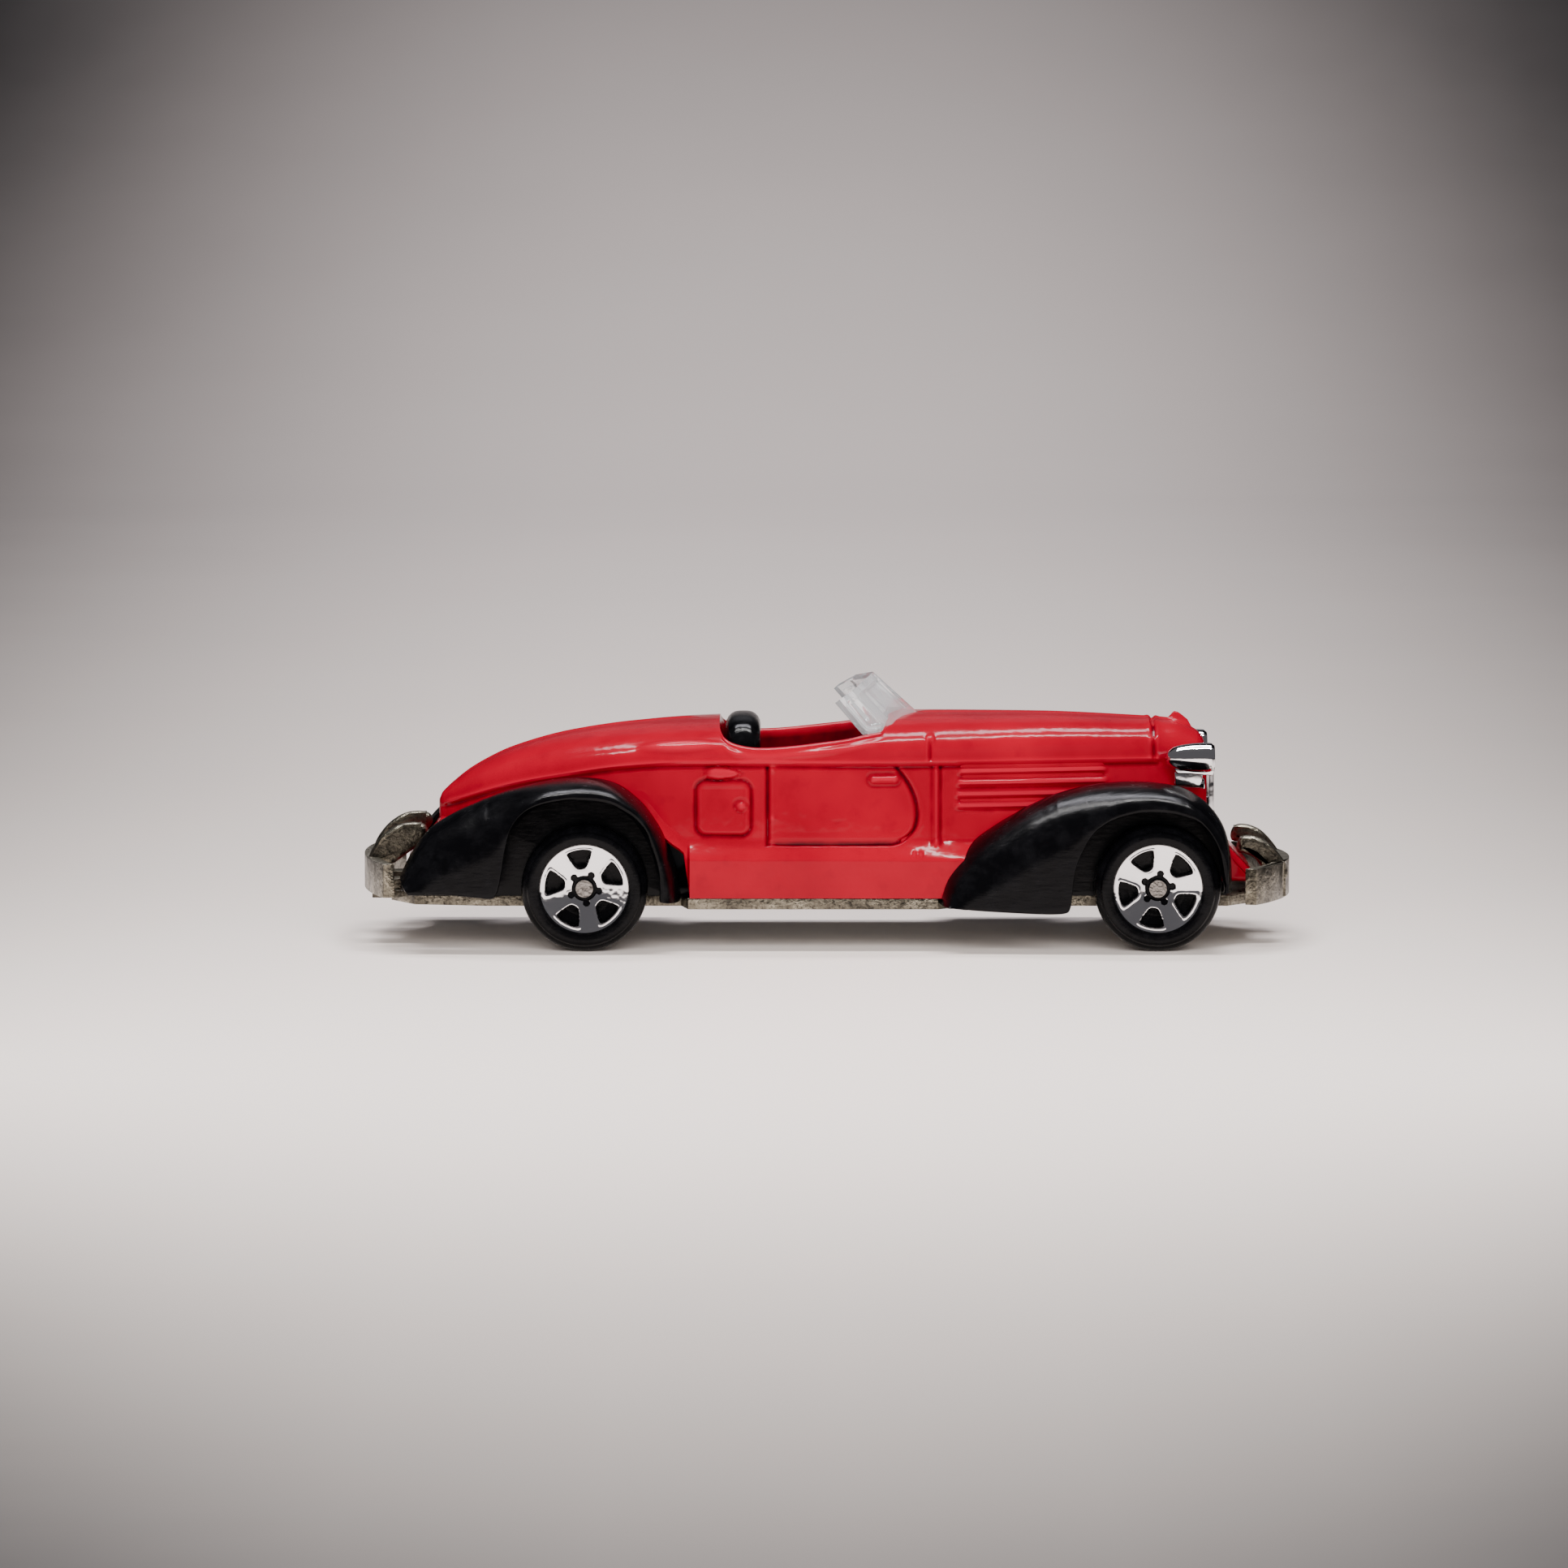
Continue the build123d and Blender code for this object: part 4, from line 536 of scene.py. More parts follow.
def bodyGrid():
    # section by section along x; in each, a half section runs from the foot up the side, over the
    # belt line as a superellipse, and then either on to the crown or, at the cockpit, over the
    # rolled edge and down into the well; the other half is its mirror
    f = bodyForm
    c0, c1 = f["cockpit"]
    e = f["edge"]
    near = np.concatenate([np.linspace(c - e, c + e, 7) for c in (c0, c1)])
    # sections stand closer together where something is cast across them
    fine = np.linspace(-32.7, 31.9, 4000)
    crowd = np.cumsum(1 + 2.4 * sum(hump(fine, c, 0.55) for c in f["busy"]))
    x = np.interp(np.linspace(crowd[0], crowd[-1], 262), crowd, fine)
    x = np.unique(np.concatenate([x, np.linspace(-32.7, -31.5, 6), np.linspace(31, 31.9, 6), near]))
    bw, bz, cz, fw, n = [followStations(x, k)[:, None] for k in range(1, 6)]
    X = x[:, None]
    # height of the foot: low at the sill, clear of both axles
    sx0, sx1, sy = f["sill"]
    foot = 5.15 + 1.2 * (smooth(-22.2, -21.2, X) * smooth(-18.2, -19.2, X) + smooth(25.4, 26.4, X) * smooth(29.4, 28.4, X))
    inSill = smooth(sx0 - 0.12, sx0 + 0.12, X) * smooth(sx1 + 0.12, sx1 - 0.12, X)
    foot = foot * (1 - inSill) + 4.32 * inSill
    ledge = np.minimum(alongLine(x, f["ledge"])[:, None], bz - 1.2)
    lifted = smooth(-16.6, -15.9, X) * smooth(sx0, sx0 - 0.24, X)
    foot = foot + (ledge - 0.45 - foot) * lifted
    a, b = np.maximum(ledge - 1.15, foot + 0.05), ledge + 0.85
    za = foot + (a - foot) * np.linspace(0, 1, 10)[None, :-1]
    zb = a + (b - a) * np.linspace(0, 1, 19)[None, :-1]
    zc = b + (bz - b) * np.linspace(0, 1, 52)[None, :]
    zSide = np.concatenate([za, zb, zc], axis=1)
    rise = (zSide - 5.1) / (bz - 5.1)
    ySide = fw + (bw - fw) * rise + 0.28 * np.sin(pi * np.clip(rise, 0, 1)) * smooth(2.5, 7, fw)
    part = np.clip((ledge + 0.7 - zSide) / 1.6, 0, 1)
    step = 0.75 * part + 0.25 * smooth(0, 1, part)
    flare = (sy - ySide) * inSill + (1 - inSill) * 1.2 * smooth(-15.6, -13.6, X) * smooth(sx0 + 0.2, sx0 - 0.2, X)
    ySide = ySide + flare * step - 0.12 * inSill * smooth(5.0, 4.3, zSide)
    # over the belt line: the angle at which the superellipse is as high as the cockpit's edge
    rim = alongLine(np.clip(x, -9.4, 5.2), f["rim"])[:, None]
    part = np.clip((rim - bz) / (cz - bz), 0.05, 0.985)
    angleRim = np.arcsin(part ** (n / 2))
    t1 = np.linspace(0, 1, 24)[None, 1:]
    th = angleRim * t1
    yLow, zLow = bw * np.cos(th) ** (2 / n), bz + (cz - bz) * np.sin(th) ** (2 / n)
    yRim, zRim = yLow[:, -1:], zLow[:, -1:]
    t2 = np.linspace(0, 1, 35)[None, 1:]
    th2 = np.arccos(np.clip((yRim * (1 - t2) / bw), 0, 1) ** (n / 2))
    yDeck = yRim * (1 - t2)
    zDeck = bz + (cz - bz) * np.sin(th2) ** (2 / n)
    r = f["wall"] / 2
    roll = np.linspace(0, pi, 9)[None, 1:]
    yRoll = yRim - r + r * np.cos(roll)
    zRoll = zRim + r * 0.75 * np.sin(roll)
    down = np.linspace(0, 1, 17)[None, 1:]
    wallFoot = np.minimum(yRim - 2 * r, fw - 1.3)
    yWall = yRoll[:, -1:] + (wallFoot - yRoll[:, -1:]) * down
    zWall = zRoll[:, -1:] + (f["floor"] - zRoll[:, -1:]) * down
    flat = np.linspace(0, 1, 11)[None, 1:]
    yFloor = yWall[:, -1:] * (1 - flat)
    zFloor = np.full_like(yFloor, f["floor"])
    yWell = np.concatenate([yRoll, yWall, yFloor], axis=1)
    zWell = np.concatenate([zRoll, zWall, zFloor], axis=1)
    inWell = smooth(c0 - e, c0 + e, X) * smooth(c1 + e, c1 - e, X)
    y = np.concatenate([ySide, yLow, yDeck + (yWell - yDeck) * inWell], axis=1)
    z = np.concatenate([zSide, zLow, zDeck + (zWell - zDeck) * inWell], axis=1)
    xx = np.repeat(X, y.shape[1], axis=1)
    # relief, pushed out along the section's own normal
    count = zSide.shape[1] + yLow.shape[1]
    dy, dz = np.gradient(y, axis=1), np.gradient(z, axis=1)
    size = np.hypot(dy, dz) + 1e-9
    ny, nz = dz / size, -dy / size
    side = sideRelief(xx, z) * (z < bz + 0.8) * (ny > 0.25)
    above = topRelief(xx, y, z) * smooth(-0.2, 0.3, z - bz)
    dry = np.ones_like(y)
    dry[:, count:] = 1 - inWell
    h = (side + above) * dry
    y = y + ny * h
    z = z + nz * h
    y = np.maximum(y, 0)
    y[:, -1] = 0
    # painted shade: the walls of the well get a low relief value, so the paint shows its dark seam colour there; the
    # shape is left as it is
    h[:, count + 8:] = -0.19 * inWell
    return xx, y, z, h


def makeBody():
    f = bodyForm
    xx, y, z, h = bodyGrid()
    rows, half = y.shape
    right = np.stack([xx, -y, z], axis=-1)
    left = np.stack([xx, y, z], axis=-1)[:, -2::-1]
    outer = np.concatenate([right, left], axis=1)
    relief = np.concatenate([h, h[:, -2::-1]], axis=1)
    d = np.gradient(outer, axis=1)
    normal = np.stack([np.zeros_like(d[:, :, 1]), -d[:, :, 2], d[:, :, 1]], axis=-1)
    normal /= np.linalg.norm(normal, axis=-1, keepdims=True) + 1e-9
    # the inner skin, coarser round the section, closes the casting
    pick = np.unique(np.concatenate([np.arange(0, outer.shape[1], 12), [outer.shape[1] - 1]]))[::-1]
    inner = (outer - normal * f["thick"])[:, pick]
    ring = np.concatenate([outer, inner], axis=1)
    level = np.concatenate([relief, np.zeros((rows, len(pick)))], axis=1)
    cols, wide = ring.shape[1], outer.shape[1]
    faces = [gridFaces(rows, cols, wrapCols=True)]
    # tail and nose: strips from the right half of the end section to the left half
    k = np.arange(wide // 2)
    for row in (0, rows - 1):
        base = row * cols
        faces.append(np.stack([base + k, base + k + 1, base + wide - 2 - k, base + wide - 1 - k], axis=-1))
    # relief for the paint: seams read dark as painted shade and crests light as painted highlight, partly also pooled
    # and thinned paint
    poolsAndShade = np.clip(0.5 + level.reshape(-1) * 1.4, 0, 1)
    body = makePiece("carBody", ring.reshape(-1, 3), np.concatenate(faces), paint, relief=poolsAndShade)
    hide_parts("body_shell")
    print("stage: body,", len(body.data.polygons), "faces")
    return body


body = makeBody()


# Aprons, cast in one with the body
def makeAprons():
    look = {"edge": 0.45, "front": [(30.4, 5.15), (35.55, 5.15), (35.75, 5.5), (35.55, 6.1), (34.7, 7.0), (33.9, 7.75), (33.1, 8.6), (32.2, 9.3), (30.4, 9.5)],
            "rear": [(-30.4, 5.15), (-35.6, 5.15), (-35.7, 5.7), (-35.3, 6.6), (-34.2, 7.9), (-33.2, 9.1), (-32.5, 10.2), (-30.4, 10.4)]}
    parts = [slab(look["front"], -6.1, 6.1, look["edge"]), slab(look["rear"], -5.5, 5.5, look["edge"])]
    verts, faces, caps = gather(parts)
    piece = makePiece("aprons", verts, faces, paint, caps=caps, relief=0.5)
    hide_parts("body_shell")


makeAprons()


# Fenders: four pontoons and the web between them, one black moulding
fenderForm = {"side": 14.2, "across": 5.2, "shoulder": 4.6, "square": 2.15, "thick": 0.85, "inner": 6.4, "lip": 0.3,
              # nothing hangs lower than this line of x and z
              "under": [(-36, 4.85), (-28, 4.5), (-20, 4.0), (-11, 4.0), (-9, 3.7), (10.5, 3.7), (12.5, 3.5), (18, 3.2), (36, 3.2)]}
# each point gives the crest's x and z, then the x and z of the lower rim or wheel arch beside it
fenderLines = {
    "rear": [(-35.6, 6.05, -34.87, 5.0), (-34.73, 7.84, -33.2, 4.9), (-33.19, 9.9, -31.2, 4.8), (-31.0, 11.32, -29.2, 4.62),
             (-29.4, 12.05, -27.95, 4.5), (-28.7, 12.38, -27.5, 4.8), (-28.3, 12.52, -27.27, 5.4), (-27.77, 12.75, -27.01, 6.8), (-26.6, 13.15, -26.74, 8.62),
             (-25.19, 13.54, -26.23, 10.42), (-23.9, 13.82, -25.19, 11.72), (-22.64, 14.04, -23.65, 12.48),
             (-20.57, 14.19, -21.5, 12.85), (-18.77, 14.04, -19.0, 12.82), (-17.23, 13.52, -17.49, 12.36),
             (-15.69, 12.36, -15.94, 11.45), (-14.66, 11.2, -14.92, 10.17), (-13.64, 9.64, -14.4, 8.62),
             (-12.99, 7.84, -13.91, 6.8), (-12.47, 6.03, -13.8, 5.4), (-12.25, 4.05, -13.77, 4.23)],
    "front": [(9.22, 3.9, 10.3, 3.75), (9.93, 6.43, 12.0, 3.55), (12.33, 9.09, 15.0, 3.35), (15.92, 11.38, 18.0, 3.22),
              (17.84, 12.33, 19.7, 3.3), (18.7, 12.7, 20.12, 3.8), (19.1, 12.86, 20.24, 4.75), (20.3, 13.2, 20.48, 6.67), (21.69, 13.54, 20.95, 8.12),
              (23.0, 13.73, 21.92, 9.81), (24.4, 13.84, 23.37, 11.01), (25.99, 13.85, 25.28, 11.68),
              (27.2, 13.78, 26.96, 11.86), (28.6, 13.58, 28.88, 11.68), (29.82, 13.23, 30.56, 11.01),
              (31.28, 12.33, 31.76, 9.81), (32.48, 11.01, 32.48, 8.36), (33.2, 9.56, 32.84, 6.43),
              (33.6, 7.4, 32.96, 5.6), (33.66, 5.1, 33.0, 5.0)]}


def makeFender(name, line, side):
    # seen from the side, s runs along the crest and the rim together, t across from one to the
    # other; the section leaves the crest level, turns over the shoulder as a quarter superellipse,
    # runs flat to the rim and ends in a rounded lip
    f = fenderForm
    path = through(line, 210)[:, None, :]
    crest, rim = path[:, :, :2], path[:, :, 2:]
    span = np.linalg.norm(rim - crest, axis=-1, keepdims=True)
    way = (rim - crest) / (span + 1e-9)
    turn = np.linspace(0, pi / 2, 30)[None, :, None]
    # the shoulder tightens over the wheel; a moving mean along s keeps the change gentle
    radius = np.minimum(f["shoulder"], 0.9 * span)
    padded = np.concatenate([radius[:1].repeat(24, 0), radius, radius[-1:].repeat(24, 0)])
    radius = np.minimum(sum(padded[k:k + len(radius)] for k in range(49)) / 49, 0.93 * span)
    power = 2 / f["square"]
    drop = radius * (1 - np.cos(turn) ** power)
    out = f["side"] - f["across"] + f["across"] * np.sin(turn) ** power
    level = np.linspace(0, 1, 7)[None, :-1, None]
    inward = f["inner"] + (f["side"] - f["across"] - f["inner"]) * level + 0 * span
    rest = np.linspace(0, 1, 15)[None, 1:, None]
    flat = radius + (np.maximum(span - f["lip"], radius + 0.02) - radius) * rest
    lipTurn = np.linspace(0, pi / 2, 6)[None, 1:, None]
    lipDrop = flat[:, -1:] + f["lip"] * np.sin(lipTurn)
    lipOut = f["side"] - f["lip"] * (1 - np.cos(lipTurn)) + 0 * span
    reach = np.concatenate([0 * inward, drop, flat, lipDrop], axis=1)
    y = np.concatenate([inward, out + 0 * span, f["side"] + 0 * flat, lipOut], axis=1)
    xz = crest + way * reach
    xz[:, :6, 1:] -= 0.25 * (1 - level)
    grid = np.concatenate([xz[:, :, :1], side * y, xz[:, :, 1:]], axis=-1)
    # the skin thins to a third at both ends, where its inner side would cross over itself
    s = np.linspace(0, 1, len(grid))[:, None, None]
    thick = f["thick"] * (0.33 + 0.67 * smooth(0, 0.1, s) * smooth(1, 0.9, s))
    verts, faces, caps = skinned(grid, thick, (0, side, 0.4), flatCols=5)
    verts = np.array(verts)
    verts[:, 2] = np.maximum(verts[:, 2], np.interp(verts[:, 0], *zip(*f["under"])))
    piece = makePiece(name, verts, faces, fenderPlastic, caps=caps, crease=50)
    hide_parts("fender_moulding")


for place, line in fenderLines.items():
    for hand, side in (("Left", 1), ("Right", -1)):
        makeFender(place + "Fender" + hand, line, side)
webParts = []
for place, line in fenderLines.items():
    # the wall between wheel and body follows the crest, drawn in by the skin's thickness
    crest = through([(x, z) for x, z, _, _ in line], 60)
    middle = crest[:, 0].mean()
    wall = np.stack([middle + (crest[:, 0] - middle) * 0.93, np.maximum(crest[:, 1] - 0.75, 4.5)], axis=1)
    outline = wall.tolist() + [(wall[-1, 0] - 0.2, 4.32), (wall[0, 0] + 0.2, 4.32)]
    webParts += [slab(outline, *sorted((s * 8.95, s * 9.55)), 0.05) for s in (-1, 1)]
webParts += [box((-34.0, -28.4), (-6.3, 6.3), (4.32, 5.08)), box((-9.6, 26.4), (-8.6, 8.6), (4.32, 5.08)), box((28.8, 33.2), (-6.3, 6.3), (4.32, 5.08))]
webParts += [box(span, (s * 4.8, s * 8.8)[::s], (4.32, 5.08)) for s in (-1, 1) for span in ((-28.2, -21.3), (-19.1, -9.8))]
web = makePiece("fenderWeb", *gather(webParts)[:2], fenderPlastic, caps=gather(webParts)[2])
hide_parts("fender_moulding")
print("stage: fenders")


# Wheels: one black moulding each, its dished face hot stamped with foil
wheelForm = {
    "radius": 5.25, "face": 13.4, "foil": 3.66, "hub": 1.02, "lobes": (1.21, 0.26),
    "profile": [(0.0, 1.02), (0.75, 1.02), (1.0, 1.0), (1.3, 0.93), (2.5, 0.68), (3.6, 0.44), (3.68, 0.40), (3.74, 0.16), (3.82, 0.06),
                (4.3, 0.0), (4.52, 0.03), (4.66, 0.1), (4.78, 0.3), (4.95, 0.42), (5.12, 0.62), (5.22, 0.92), (5.25, 1.3),
                (5.25, 2.9), (5.2, 3.2), (5.0, 3.38), (4.0, 3.4), (3.85, 3.3), (3.75, 2.1), (3.5, 2.0), (1.6, 2.0), (1.45, 2.1), (1.4, 3.3),
                (1.3, 3.4), (0.0, 3.4)],
    "window": {"from": 1.68, "to": 3.2, "narrow": 0.34, "wide": 1.16, "corner": 0.12, "deep": 1.3, "wall": 0.05},
}


def smoothMost(values, k):
    # the largest of several numbers, with the corners between them rounded
    values = np.broadcast_arrays(*values)
    top = np.maximum.reduce(values)
    return top + k * np.log(sum(np.exp((v - top) / k) for v in values))


def wheelMarks(r, angle):
    # distances, negative inside, from the five windows and from the five-lobed star at the hub
    w = wheelForm["window"]
    step = 2 * pi / 5
    local = (angle + step / 2) % step - step / 2
    out, across = r * np.cos(local), np.abs(r * np.sin(local))
    lean = np.arctan2(w["wide"] - w["narrow"], w["to"] - w["from"])
    flank = (across - w["narrow"]) * np.cos(lean) - (out - w["from"]) * np.sin(lean)
    window = smoothMost([r - w["to"], w["from"] - out, flank], w["corner"])
    turned5 = (angle + step) % step - step / 2
    lobeAt, lobeRadius = wheelForm["lobes"]
    lobe = np.hypot(r * np.cos(turned5) - lobeAt, r * np.sin(turned5)) - lobeRadius
    star = -smoothMost([-(r - wheelForm["hub"]), -lobe], 0.04)
    return window, star


def makeWheel(name, centre, side, phase, rides, source):
    # rings of the profile carried round the axle; each point then sinks by the window's depth
    f = wheelForm
    p = np.array(f["profile"])
    length = np.concatenate([[0], np.cumsum(np.hypot(*np.diff(p, axis=0).T))])
    stops = [np.linspace(0, length[1], 3), np.linspace(length[1], length[3], 24), np.linspace(length[3], length[5], 44)]
    stops += [np.linspace(length[k], length[k + 1], 4 if k < 17 else 3) for k in range(5, len(p) - 1)]
    at = np.unique(np.concatenate(stops))
    r, deep = np.interp(at, length, p[:, 0])[:, None], np.interp(at, length, p[:, 1])[:, None]
    angle = np.linspace(0, 2 * pi, 240, endpoint=False)[None]
    front = (np.arange(len(at)) < np.searchsorted(at, length[6]))[:, None]
    window, star = wheelMarks(r, angle)
    w = f["window"]
    sunk = w["deep"] * smooth(w["wall"], -w["wall"], window) - 0.05 * hump(window, 0.14, 0.08) + 0.09 * smooth(0.05, -0.05, star) * (r > 0.8)
    depth = deep + sunk * front
    turn = angle + phase
    def placed(d, lift=0.0):
        return np.stack([centre[0] + r * np.cos(turn), 0 * angle + side * (f["face"] - d + lift), centre[1] + r * np.sin(turn)], axis=-1)
    grid = placed(depth)
    rows, cols = grid.shape[:2]
    wheel = makePiece(name, grid.reshape(-1, 3), gridFaces(rows, cols, wrapCols=True), tyrePlastic, rides, crease=50)
    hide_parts(source)
    # the foil covers the dish, and runs a little way into each window
    shown = (r < f["foil"]) & (r > 0.7) & (window > -0.045) & (star > 0.02)
    faces = gridFaces(rows, cols, wrapCols=True)
    faces = faces[shown.reshape(-1)[faces].all(axis=1)]
    used, where = np.unique(faces, return_inverse=True)
    skin = placed(depth, 0.03).reshape(-1, 3)[used]
    back = placed(depth, 0.005).reshape(-1, 3)[used]
    faces = where.reshape(-1, 4)
    edges = np.concatenate([faces[:, [k, (k + 1) % 4]] for k in range(4)])
    keys = {tuple(e) for e in edges.tolist()}
    rim = [e for e in edges.tolist() if (e[1], e[0]) not in keys]
    walls = [[b, a, a + len(used), b + len(used)] for a, b in rim]
    foil = makePiece(name + "Foil", np.concatenate([skin, back]), np.concatenate([faces, faces[:, ::-1] + len(used), np.array(walls)]), foilSkin, rides, crease=50)
    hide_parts(source + "_foil")


for end, x, phase in (("front", 27.4, 116), ("rear", -20.2, 98)):
    for hand, side in (("left", 1), ("right", -1)):
        rides = "rear_wheels" if end == "rear" else end + "_" + hand
        makeWheel(end + hand.capitalize() + "Wheel", (x, 5.25), side, radians(phase), rides, end + "_" + hand + "_wheel")
print("stage: wheels")


# Windscreen: clear V with short wings
def makeWindscreen():
    look = {"low": [(3.4, -8.0, 17.75), (5.75, -6.5, 18.05), (7.75, 0.0, 18.85), (5.75, 6.5, 18.05), (3.4, 8.0, 17.75)],
            "high": [(1.0, -8.0, 20.6), (2.46, -6.5, 21.55), (3.9, 0.0, 22.32), (2.46, 6.5, 21.55), (1.0, 8.0, 20.6)],
            "thick": 0.75, "rail": 0.8, "step": 0.12}
    low, high = np.array(look["low"]), np.array(look["high"])
    along = np.concatenate([[0], np.cumsum(np.linalg.norm(np.diff(low, axis=0), axis=1))])
    at = np.linspace(0, along[-1], 150)
    bottom, top = (np.stack([np.interp(at, along, p[:, k]) for k in range(3)], axis=1) for p in (low, high))
    # the folds are rounded by a moving mean along the ribbon, ends kept
    for line in (bottom, top):
        line[2:-2] = sum(line[2 + k:len(line) - 2 + k] for k in range(-2, 3)) / 5
    v = np.linspace(0, 1, 34)[None, :, None]
    grid = bottom[:, None] * (1 - v) + top[:, None] * v
    height = np.linalg.norm(top - bottom, axis=1)[:, None]
    gap = np.min(np.abs(at[:, None] - along[None]), axis=1)[:, None]
    rail = np.minimum(gap, np.minimum(v[:, :, 0] * height, (1 - v[:, :, 0]) * height))
    sunk = look["step"] * smooth(look["rail"] - 0.12, look["rail"] + 0.12, rail)
    du, dv = np.gradient(grid, axis=0), np.gradient(grid, axis=1)
    normal = np.cross(du, dv)
    normal /= np.linalg.norm(normal, axis=-1, keepdims=True)
    normal *= np.sign(normal[75, 17, 0])
    front = grid - normal * sunk[:, :, None]
    verts, faces, caps = skinned(front, look["thick"], (1, 0, 0.5))
    lugs = [box((3.75, 4.6), (s * 7.2, s * 7.95)[::s], (16.9, 17.85), 0.2) for s in (-1, 1)]
    verts, faces, caps = gather([(verts, faces, caps)] + lugs)
    piece = makePiece("windscreen", verts, faces, clear, caps=caps, crease=28)
    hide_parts("windshield")


makeWindscreen()


# Cabin: seat, tray, dashboard and steering wheel, one black moulding
def makeCabin():
    crest = [(-7.3, 8.7), (-7.35, 13.0), (-7.3, 15.9), (-7.0, 17.3), (-6.2, 18.2), (-4.6, 18.65), (-2.4, 18.83), (0.0, 18.87)]
    crest += [(-y, z) for y, z in crest[-2::-1]]
    seat = makePiece("seatBack", *slab(crest, -8.55, -5.6, 1.15, "x")[:2], seatPlastic, caps=slab(crest, -8.55, -5.6, 1.15, "x")[2], crease=50)
    cushion = box((-6.3, -1.2), (-7.25, 7.25), (9.3, 12.6), 0.8)
    tray = [box((-9.5, 7.5), (-8.1, 8.1), (8.65, 9.35)), box((-9.55, -8.85), (-8.1, 8.1), (8.7, 14.9))]
    tray += [box((-9.5, 7.5), (s * 7.45, s * 8.15)[::s], (8.7, 13.3)) for s in (-1, 1)]
    dash = [box((4.9, 6.2), (-7.15, 7.15), (12.1, 16.5), 0.35), box((6.3, 7.5), (-7.1, 7.1), (8.8, 12.9), 0.2)]
    ring, spin = np.meshgrid(np.linspace(0, 2 * pi, 64, endpoint=False), np.linspace(0, 2 * pi, 14, endpoint=False), indexing="ij")
    flat = np.stack([(1.88 + 0.22 * np.cos(spin)) * np.cos(ring), (1.88 + 0.22 * np.cos(spin)) * np.sin(ring), 0.22 * np.sin(spin)], axis=-1).reshape(-1, 3)
    wheel = [(flat, gridFaces(64, 14, True, True), []), box((-1.8, 1.8), (-0.15, 0.15), (-0.14, 0.14), 0.05),
             box((-0.15, 0.15), (-1.8, 1.8), (-0.14, 0.14), 0.05), box((-0.34, 0.34), (-0.34, 0.34), (-2.9, 0.25), 0.1)]
    lean = radians(-62)
    tilt = np.array([[cos(lean), 0, sin(lean)], [0, 1, 0], [-sin(lean), 0, cos(lean)]])
    wheel = [(v @ tilt.T + (3.2, 3.3, 15.2), f, c) for v, f, c in wheel]
    for name, parts in (("seatCushion", [cushion]), ("cabinTray", tray), ("dashboard", dash), ("steeringWheel", wheel)):
        verts, faces, caps = gather(parts)
        piece = makePiece(name, verts, faces, seatPlastic, caps=caps)
        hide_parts("interior_tub")
    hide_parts("interior_tub")


makeCabin()
print("stage: screen and cabin")


# Lamps, horns and grille, one chromed moulding
def makeTrim():
    bullet = [(28.2, 0.0), (28.26, 0.32), (28.5, 0.68), (28.9, 1.0), (29.5, 1.24), (30.3, 1.38), (31.2, 1.45), (31.8, 1.46), (32.12, 1.4), (32.2, 1.28),
              (32.32, 1.22), (32.36, 1.1), (32.3, 1.0), (32.38, 0.5), (32.4, 0.0)]
    fine = through([(x, r) for x, r in bullet], 60)
    parts = []
    for s in (-1, 1):
        parts.append(turned(fine, 64, (0, s * 6.6, 15.62), 0.86))
        parts.append(slab([(28.95, 14.72), (29.2, 14.25), (32.2, 14.15), (32.35, 14.5), (32.3, 14.8)], *sorted((s * 5.5, s * 6.9)), 0.14))
        parts.append(slab([(29.0, 14.4), (29.1, 13.25), (31.3, 13.25), (31.4, 14.4)], *sorted((s * 5.5, s * 6.3)), 0.12))
        horn = through([(29.0, 0.12), (29.15, 0.3), (30.0, 0.34), (31.1, 0.44), (31.5, 0.5), (31.55, 0.42), (31.3, 0.1)], 24)
        horn[0, 1] = horn[-1, 1] = 0
        parts.append(turned(horn, 32, (0, s * 5.85, 13.4)))
    parts.append(box((29.15, 30.25), (-6.5, 6.5), (14.35, 15.25), 0.1))
    parts.append(slab([(29.3, 10.2), (32.1, 10.2), (32.1, 11.8), (30.2, 11.8), (30.2, 14.4), (29.3, 14.4)], -0.85, 0.85, 0.1))
    lamps = makePiece("lampsAndHorns", *gather(parts)[:2], chrome, caps=gather(parts)[2], crease=40)
    # the grille: a shield whose half width follows a superellipse, its face ribbed by a cosine
    t = np.linspace(-1, 1, 61)[:, None]
    s = np.linspace(-1, 1, 91)[None]
    half = 2.78 * (1 - np.abs(t) ** 5) ** 0.2
    y = half * s
    edge = np.minimum(1 - np.abs(s), 1 - np.abs(t))
    ribs = 0.5 + 0.5 * np.cos(2 * pi * y / 0.8)
    x = 32.08 + 0.44 * smooth(0, 0.1, edge) - 0.26 * smooth(0.16, 0.22, edge) * ribs ** 2
    z = 12.9 + 3.27 * t + 0 * s
    front = np.stack([x, y, z], axis=-1)
    behind = np.stack([32.06 + 0 * y, y, z], axis=-1)[:, ::-1]
    grid = np.concatenate([front, behind], axis=1)
    grille = makePiece("grille", grid.reshape(-1, 3), gridFaces(*grid.shape[:2], wrapCols=True), chrome, crease=40)
    for piece in (lamps, grille):
        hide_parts("headlight_grille_trim")


makeTrim()

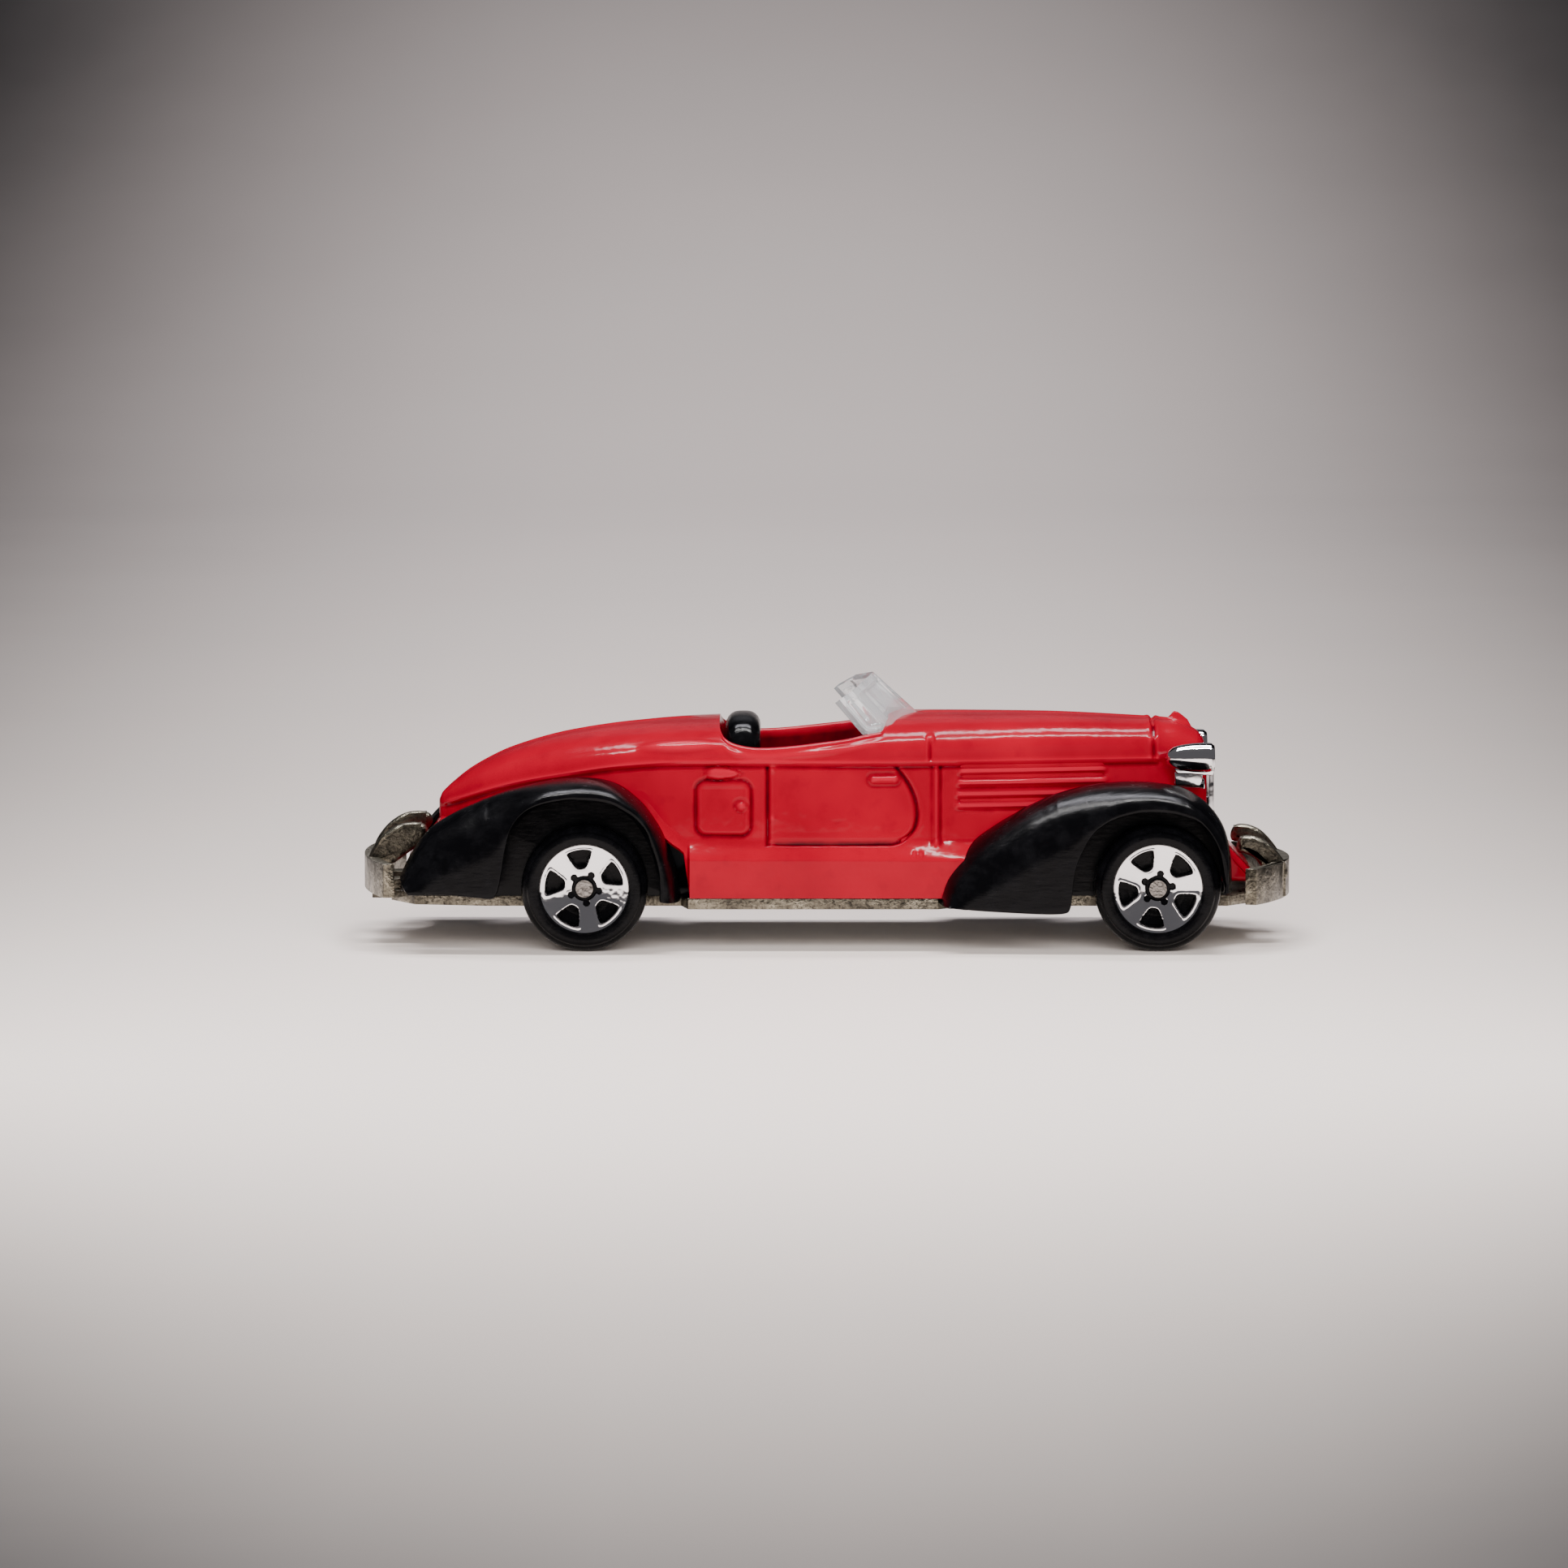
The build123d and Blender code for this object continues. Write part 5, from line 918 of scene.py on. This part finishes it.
# Chassis casting with its bumpers; the over-riders are built up over the plain ones
chassis = softened("chassis_base", "chassisCasting", zinc, 0.16)
hornForm = {"rear": [(-38.45, 6.6), (-38.35, 7.4), (-37.9, 8.2), (-37.1, 9.1), (-35.9, 9.85), (-34.6, 10.05), (-33.7, 9.8), (-33.5, 9.1), (-34.2, 8.2), (-35.4, 7.3), (-36.4, 6.6), (-37.3, 6.2)],
            "front": [(34.4, 7.6), (34.4, 8.4), (34.9, 8.9), (35.9, 8.85), (36.9, 8.4), (37.8, 7.5), (38.45, 6.5), (38.55, 5.4), (37.4, 5.0), (36.6, 5.9), (35.9, 7.0), (35.2, 7.4)],
            "width": 1.6, "across": 5.0, "edge": 0.55}
hornParts = [slab(hornForm[end], *sorted((s * (hornForm["across"] - hornForm["width"] / 2), s * (hornForm["across"] + hornForm["width"] / 2))), hornForm["edge"], count=72)
             for end in ("rear", "front") for s in (-1, 1)]
horns = makePiece("overRiders", *gather(hornParts)[:2], zinc, caps=gather(hornParts)[2], crease=60)
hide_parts("chassis_base")
print("stage: trim and chassis")


# Studio: floor, backdrop, lights, camera

def makeStudio():
    look = {"reach": 1.2, "front": -0.62, "bend": 0.5, "start": 0.62, "high": 1.4, "near": "f6eae3", "far": "060506"}
    # the sweep: a flat floor that curls up into the backdrop, carried along x; each point keeps
    # how far it lies from the middle of the set, from which a painted falloff of light darkens the card
    curl = np.linspace(0, pi / 2, 40)[1:]
    yy = np.concatenate([np.linspace(look["front"], look["start"], 110), look["start"] + look["bend"] * np.sin(curl), [look["start"] + look["bend"]] * 30])
    zz = np.concatenate([np.zeros(110), look["bend"] * (1 - np.cos(curl)), np.linspace(look["bend"] + 0.02, look["high"], 30)])
    xs = np.concatenate([np.linspace(-look["reach"], -0.4, 8)[:-1], np.linspace(-0.4, 0.4, 61), np.linspace(0.4, look["reach"], 8)[1:]])
    x, y = np.meshgrid(xs, yy, indexing="ij")
    z = np.repeat(zz[None], len(xs), 0)
    away = np.hypot(y + 0.717, z - 0.079)
    wide = (x + 0.0036) / away / 0.0919
    high = (np.arctan2(z - 0.079, y + 0.717) + radians(5.3)) / 0.0917
    # the pool of light: tone falls off as exp(-(c |up|^2.5 + a |across|^2.5)) from a middle just
    # painted light falloff: the card's colour falls off as exp(-(c |up|^2.5 + a |across|^2.5)) from a middle just
    # in front of the car, quicker towards the near edge, and quicker sideways further from it
    rise = high + 0.36
    steep = np.where(rise > 0, 0.5, 3.6) * np.abs(rise) ** 2.5
    spot = 0.62 * (1 - np.exp(-((rise / 0.25) ** 2)))
    gloom = 1 - np.exp(-steep - spot - (0.1 + 1.4 * np.abs(rise)) * np.abs(wide) ** 2.5)
    material, tree, shader = newMaterial("paleStudioCard")
    mottle = noiseFor(tree, 60.0)
    # the painted falloff darkens the card's colour towards the near-black far colour, standing in for the edge of the
    # light
    fade = addNode(tree, "ShaderNodeAttribute", attribute_name="gloom")
    both = addNode(tree, "ShaderNodeMath", {0: (mottle, "Fac"), 1: 0.02, 2: (fade, "Fac")}, operation="MULTIPLY_ADD")
    shade = rampStops(addNode(tree, "ShaderNodeValToRGB", {"Fac": (both, "Value")}),
                      [(0.0, hexToLinear(look["near"])), (1.0, hexToLinear(look["far"]))])
    tree.links.new(shade.outputs["Color"], shader.inputs["Base Color"])
    shader.inputs["Roughness"].default_value = 0.42
    shader.inputs["IOR"].default_value = 1.35
    grid = np.stack([x, y, z], axis=-1) / mm
    floor = makePiece("studioSweep", grid.reshape(-1, 3), gridFaces(*x.shape), material, body=None, gloom=gloom.reshape(-1))
    lights = (
        # name, place, aim, width, height, watts, colour, whether it shows in reflections
        ("overheadStrip", (0.0, 0.03, 0.50), (0, 0, 0), 0.46, 0.03, 4.2, (1.0, 0.985, 0.98), True),
        ("frontFill", (0.0, -0.85, 0.62), (0, 0, 0.0), 1.3, 0.5, 18.5, (1.0, 0.985, 0.97), False),
        ("frontWash", (0.0, -1.15, 0.26), (0, 0, 0.02), 1.8, 0.5, 16.5, (1.0, 0.98, 0.96), False),
        ("backWash", (0.0, 0.45, 0.95), (0, 0.9, 0.2), 0.7, 0.3, 17.5, (0.94, 0.93, 1.0), True),
    )
    for name, place, aim, wide, high, watts, colour, mirrored in lights:
        lamp = bpy.data.lights.new(name, "AREA")
        lamp.shape = "RECTANGLE"
        lamp.size, lamp.size_y = wide, high
        lamp.energy = watts
        lamp.color = colour
        obj = bpy.data.objects.new(name, lamp)
        bpy.context.scene.collection.objects.link(obj)
        obj.location = place
        obj.visible_glossy = mirrored
        obj.rotation_euler = (Vector(aim) - Vector(place)).to_track_quat("-Z", "Y").to_euler()
    world = bpy.data.worlds.new("studio")
    bpy.context.scene.world = world
    world.use_nodes = True
    world.node_tree.nodes["Background"].inputs["Color"].default_value = hexToLinear("cfcbd0")
    world.node_tree.nodes["Background"].inputs["Strength"].default_value = 0.18


makeStudio()

view = {"target": (-3.63, 0.0, 12.8), "elevation": 5.3, "distance": 720.0, "across": 132.3}
lens = bpy.data.cameras.new("view")
lens.sensor_width = 36.0
lens.lens = 36.0 * view["distance"] / view["across"]
lens.clip_start = 0.01
camera = bpy.data.objects.new("view", lens)
bpy.context.scene.collection.objects.link(camera)
lift = radians(view["elevation"])
camera.location = [v * mm for v in (view["target"][0], view["target"][1] - view["distance"] * cos(lift), view["target"][2] + view["distance"] * sin(lift))]
camera.rotation_euler = (pi / 2 - lift, 0, 0)
bpy.context.scene.camera = camera
print("stage: studio and camera")
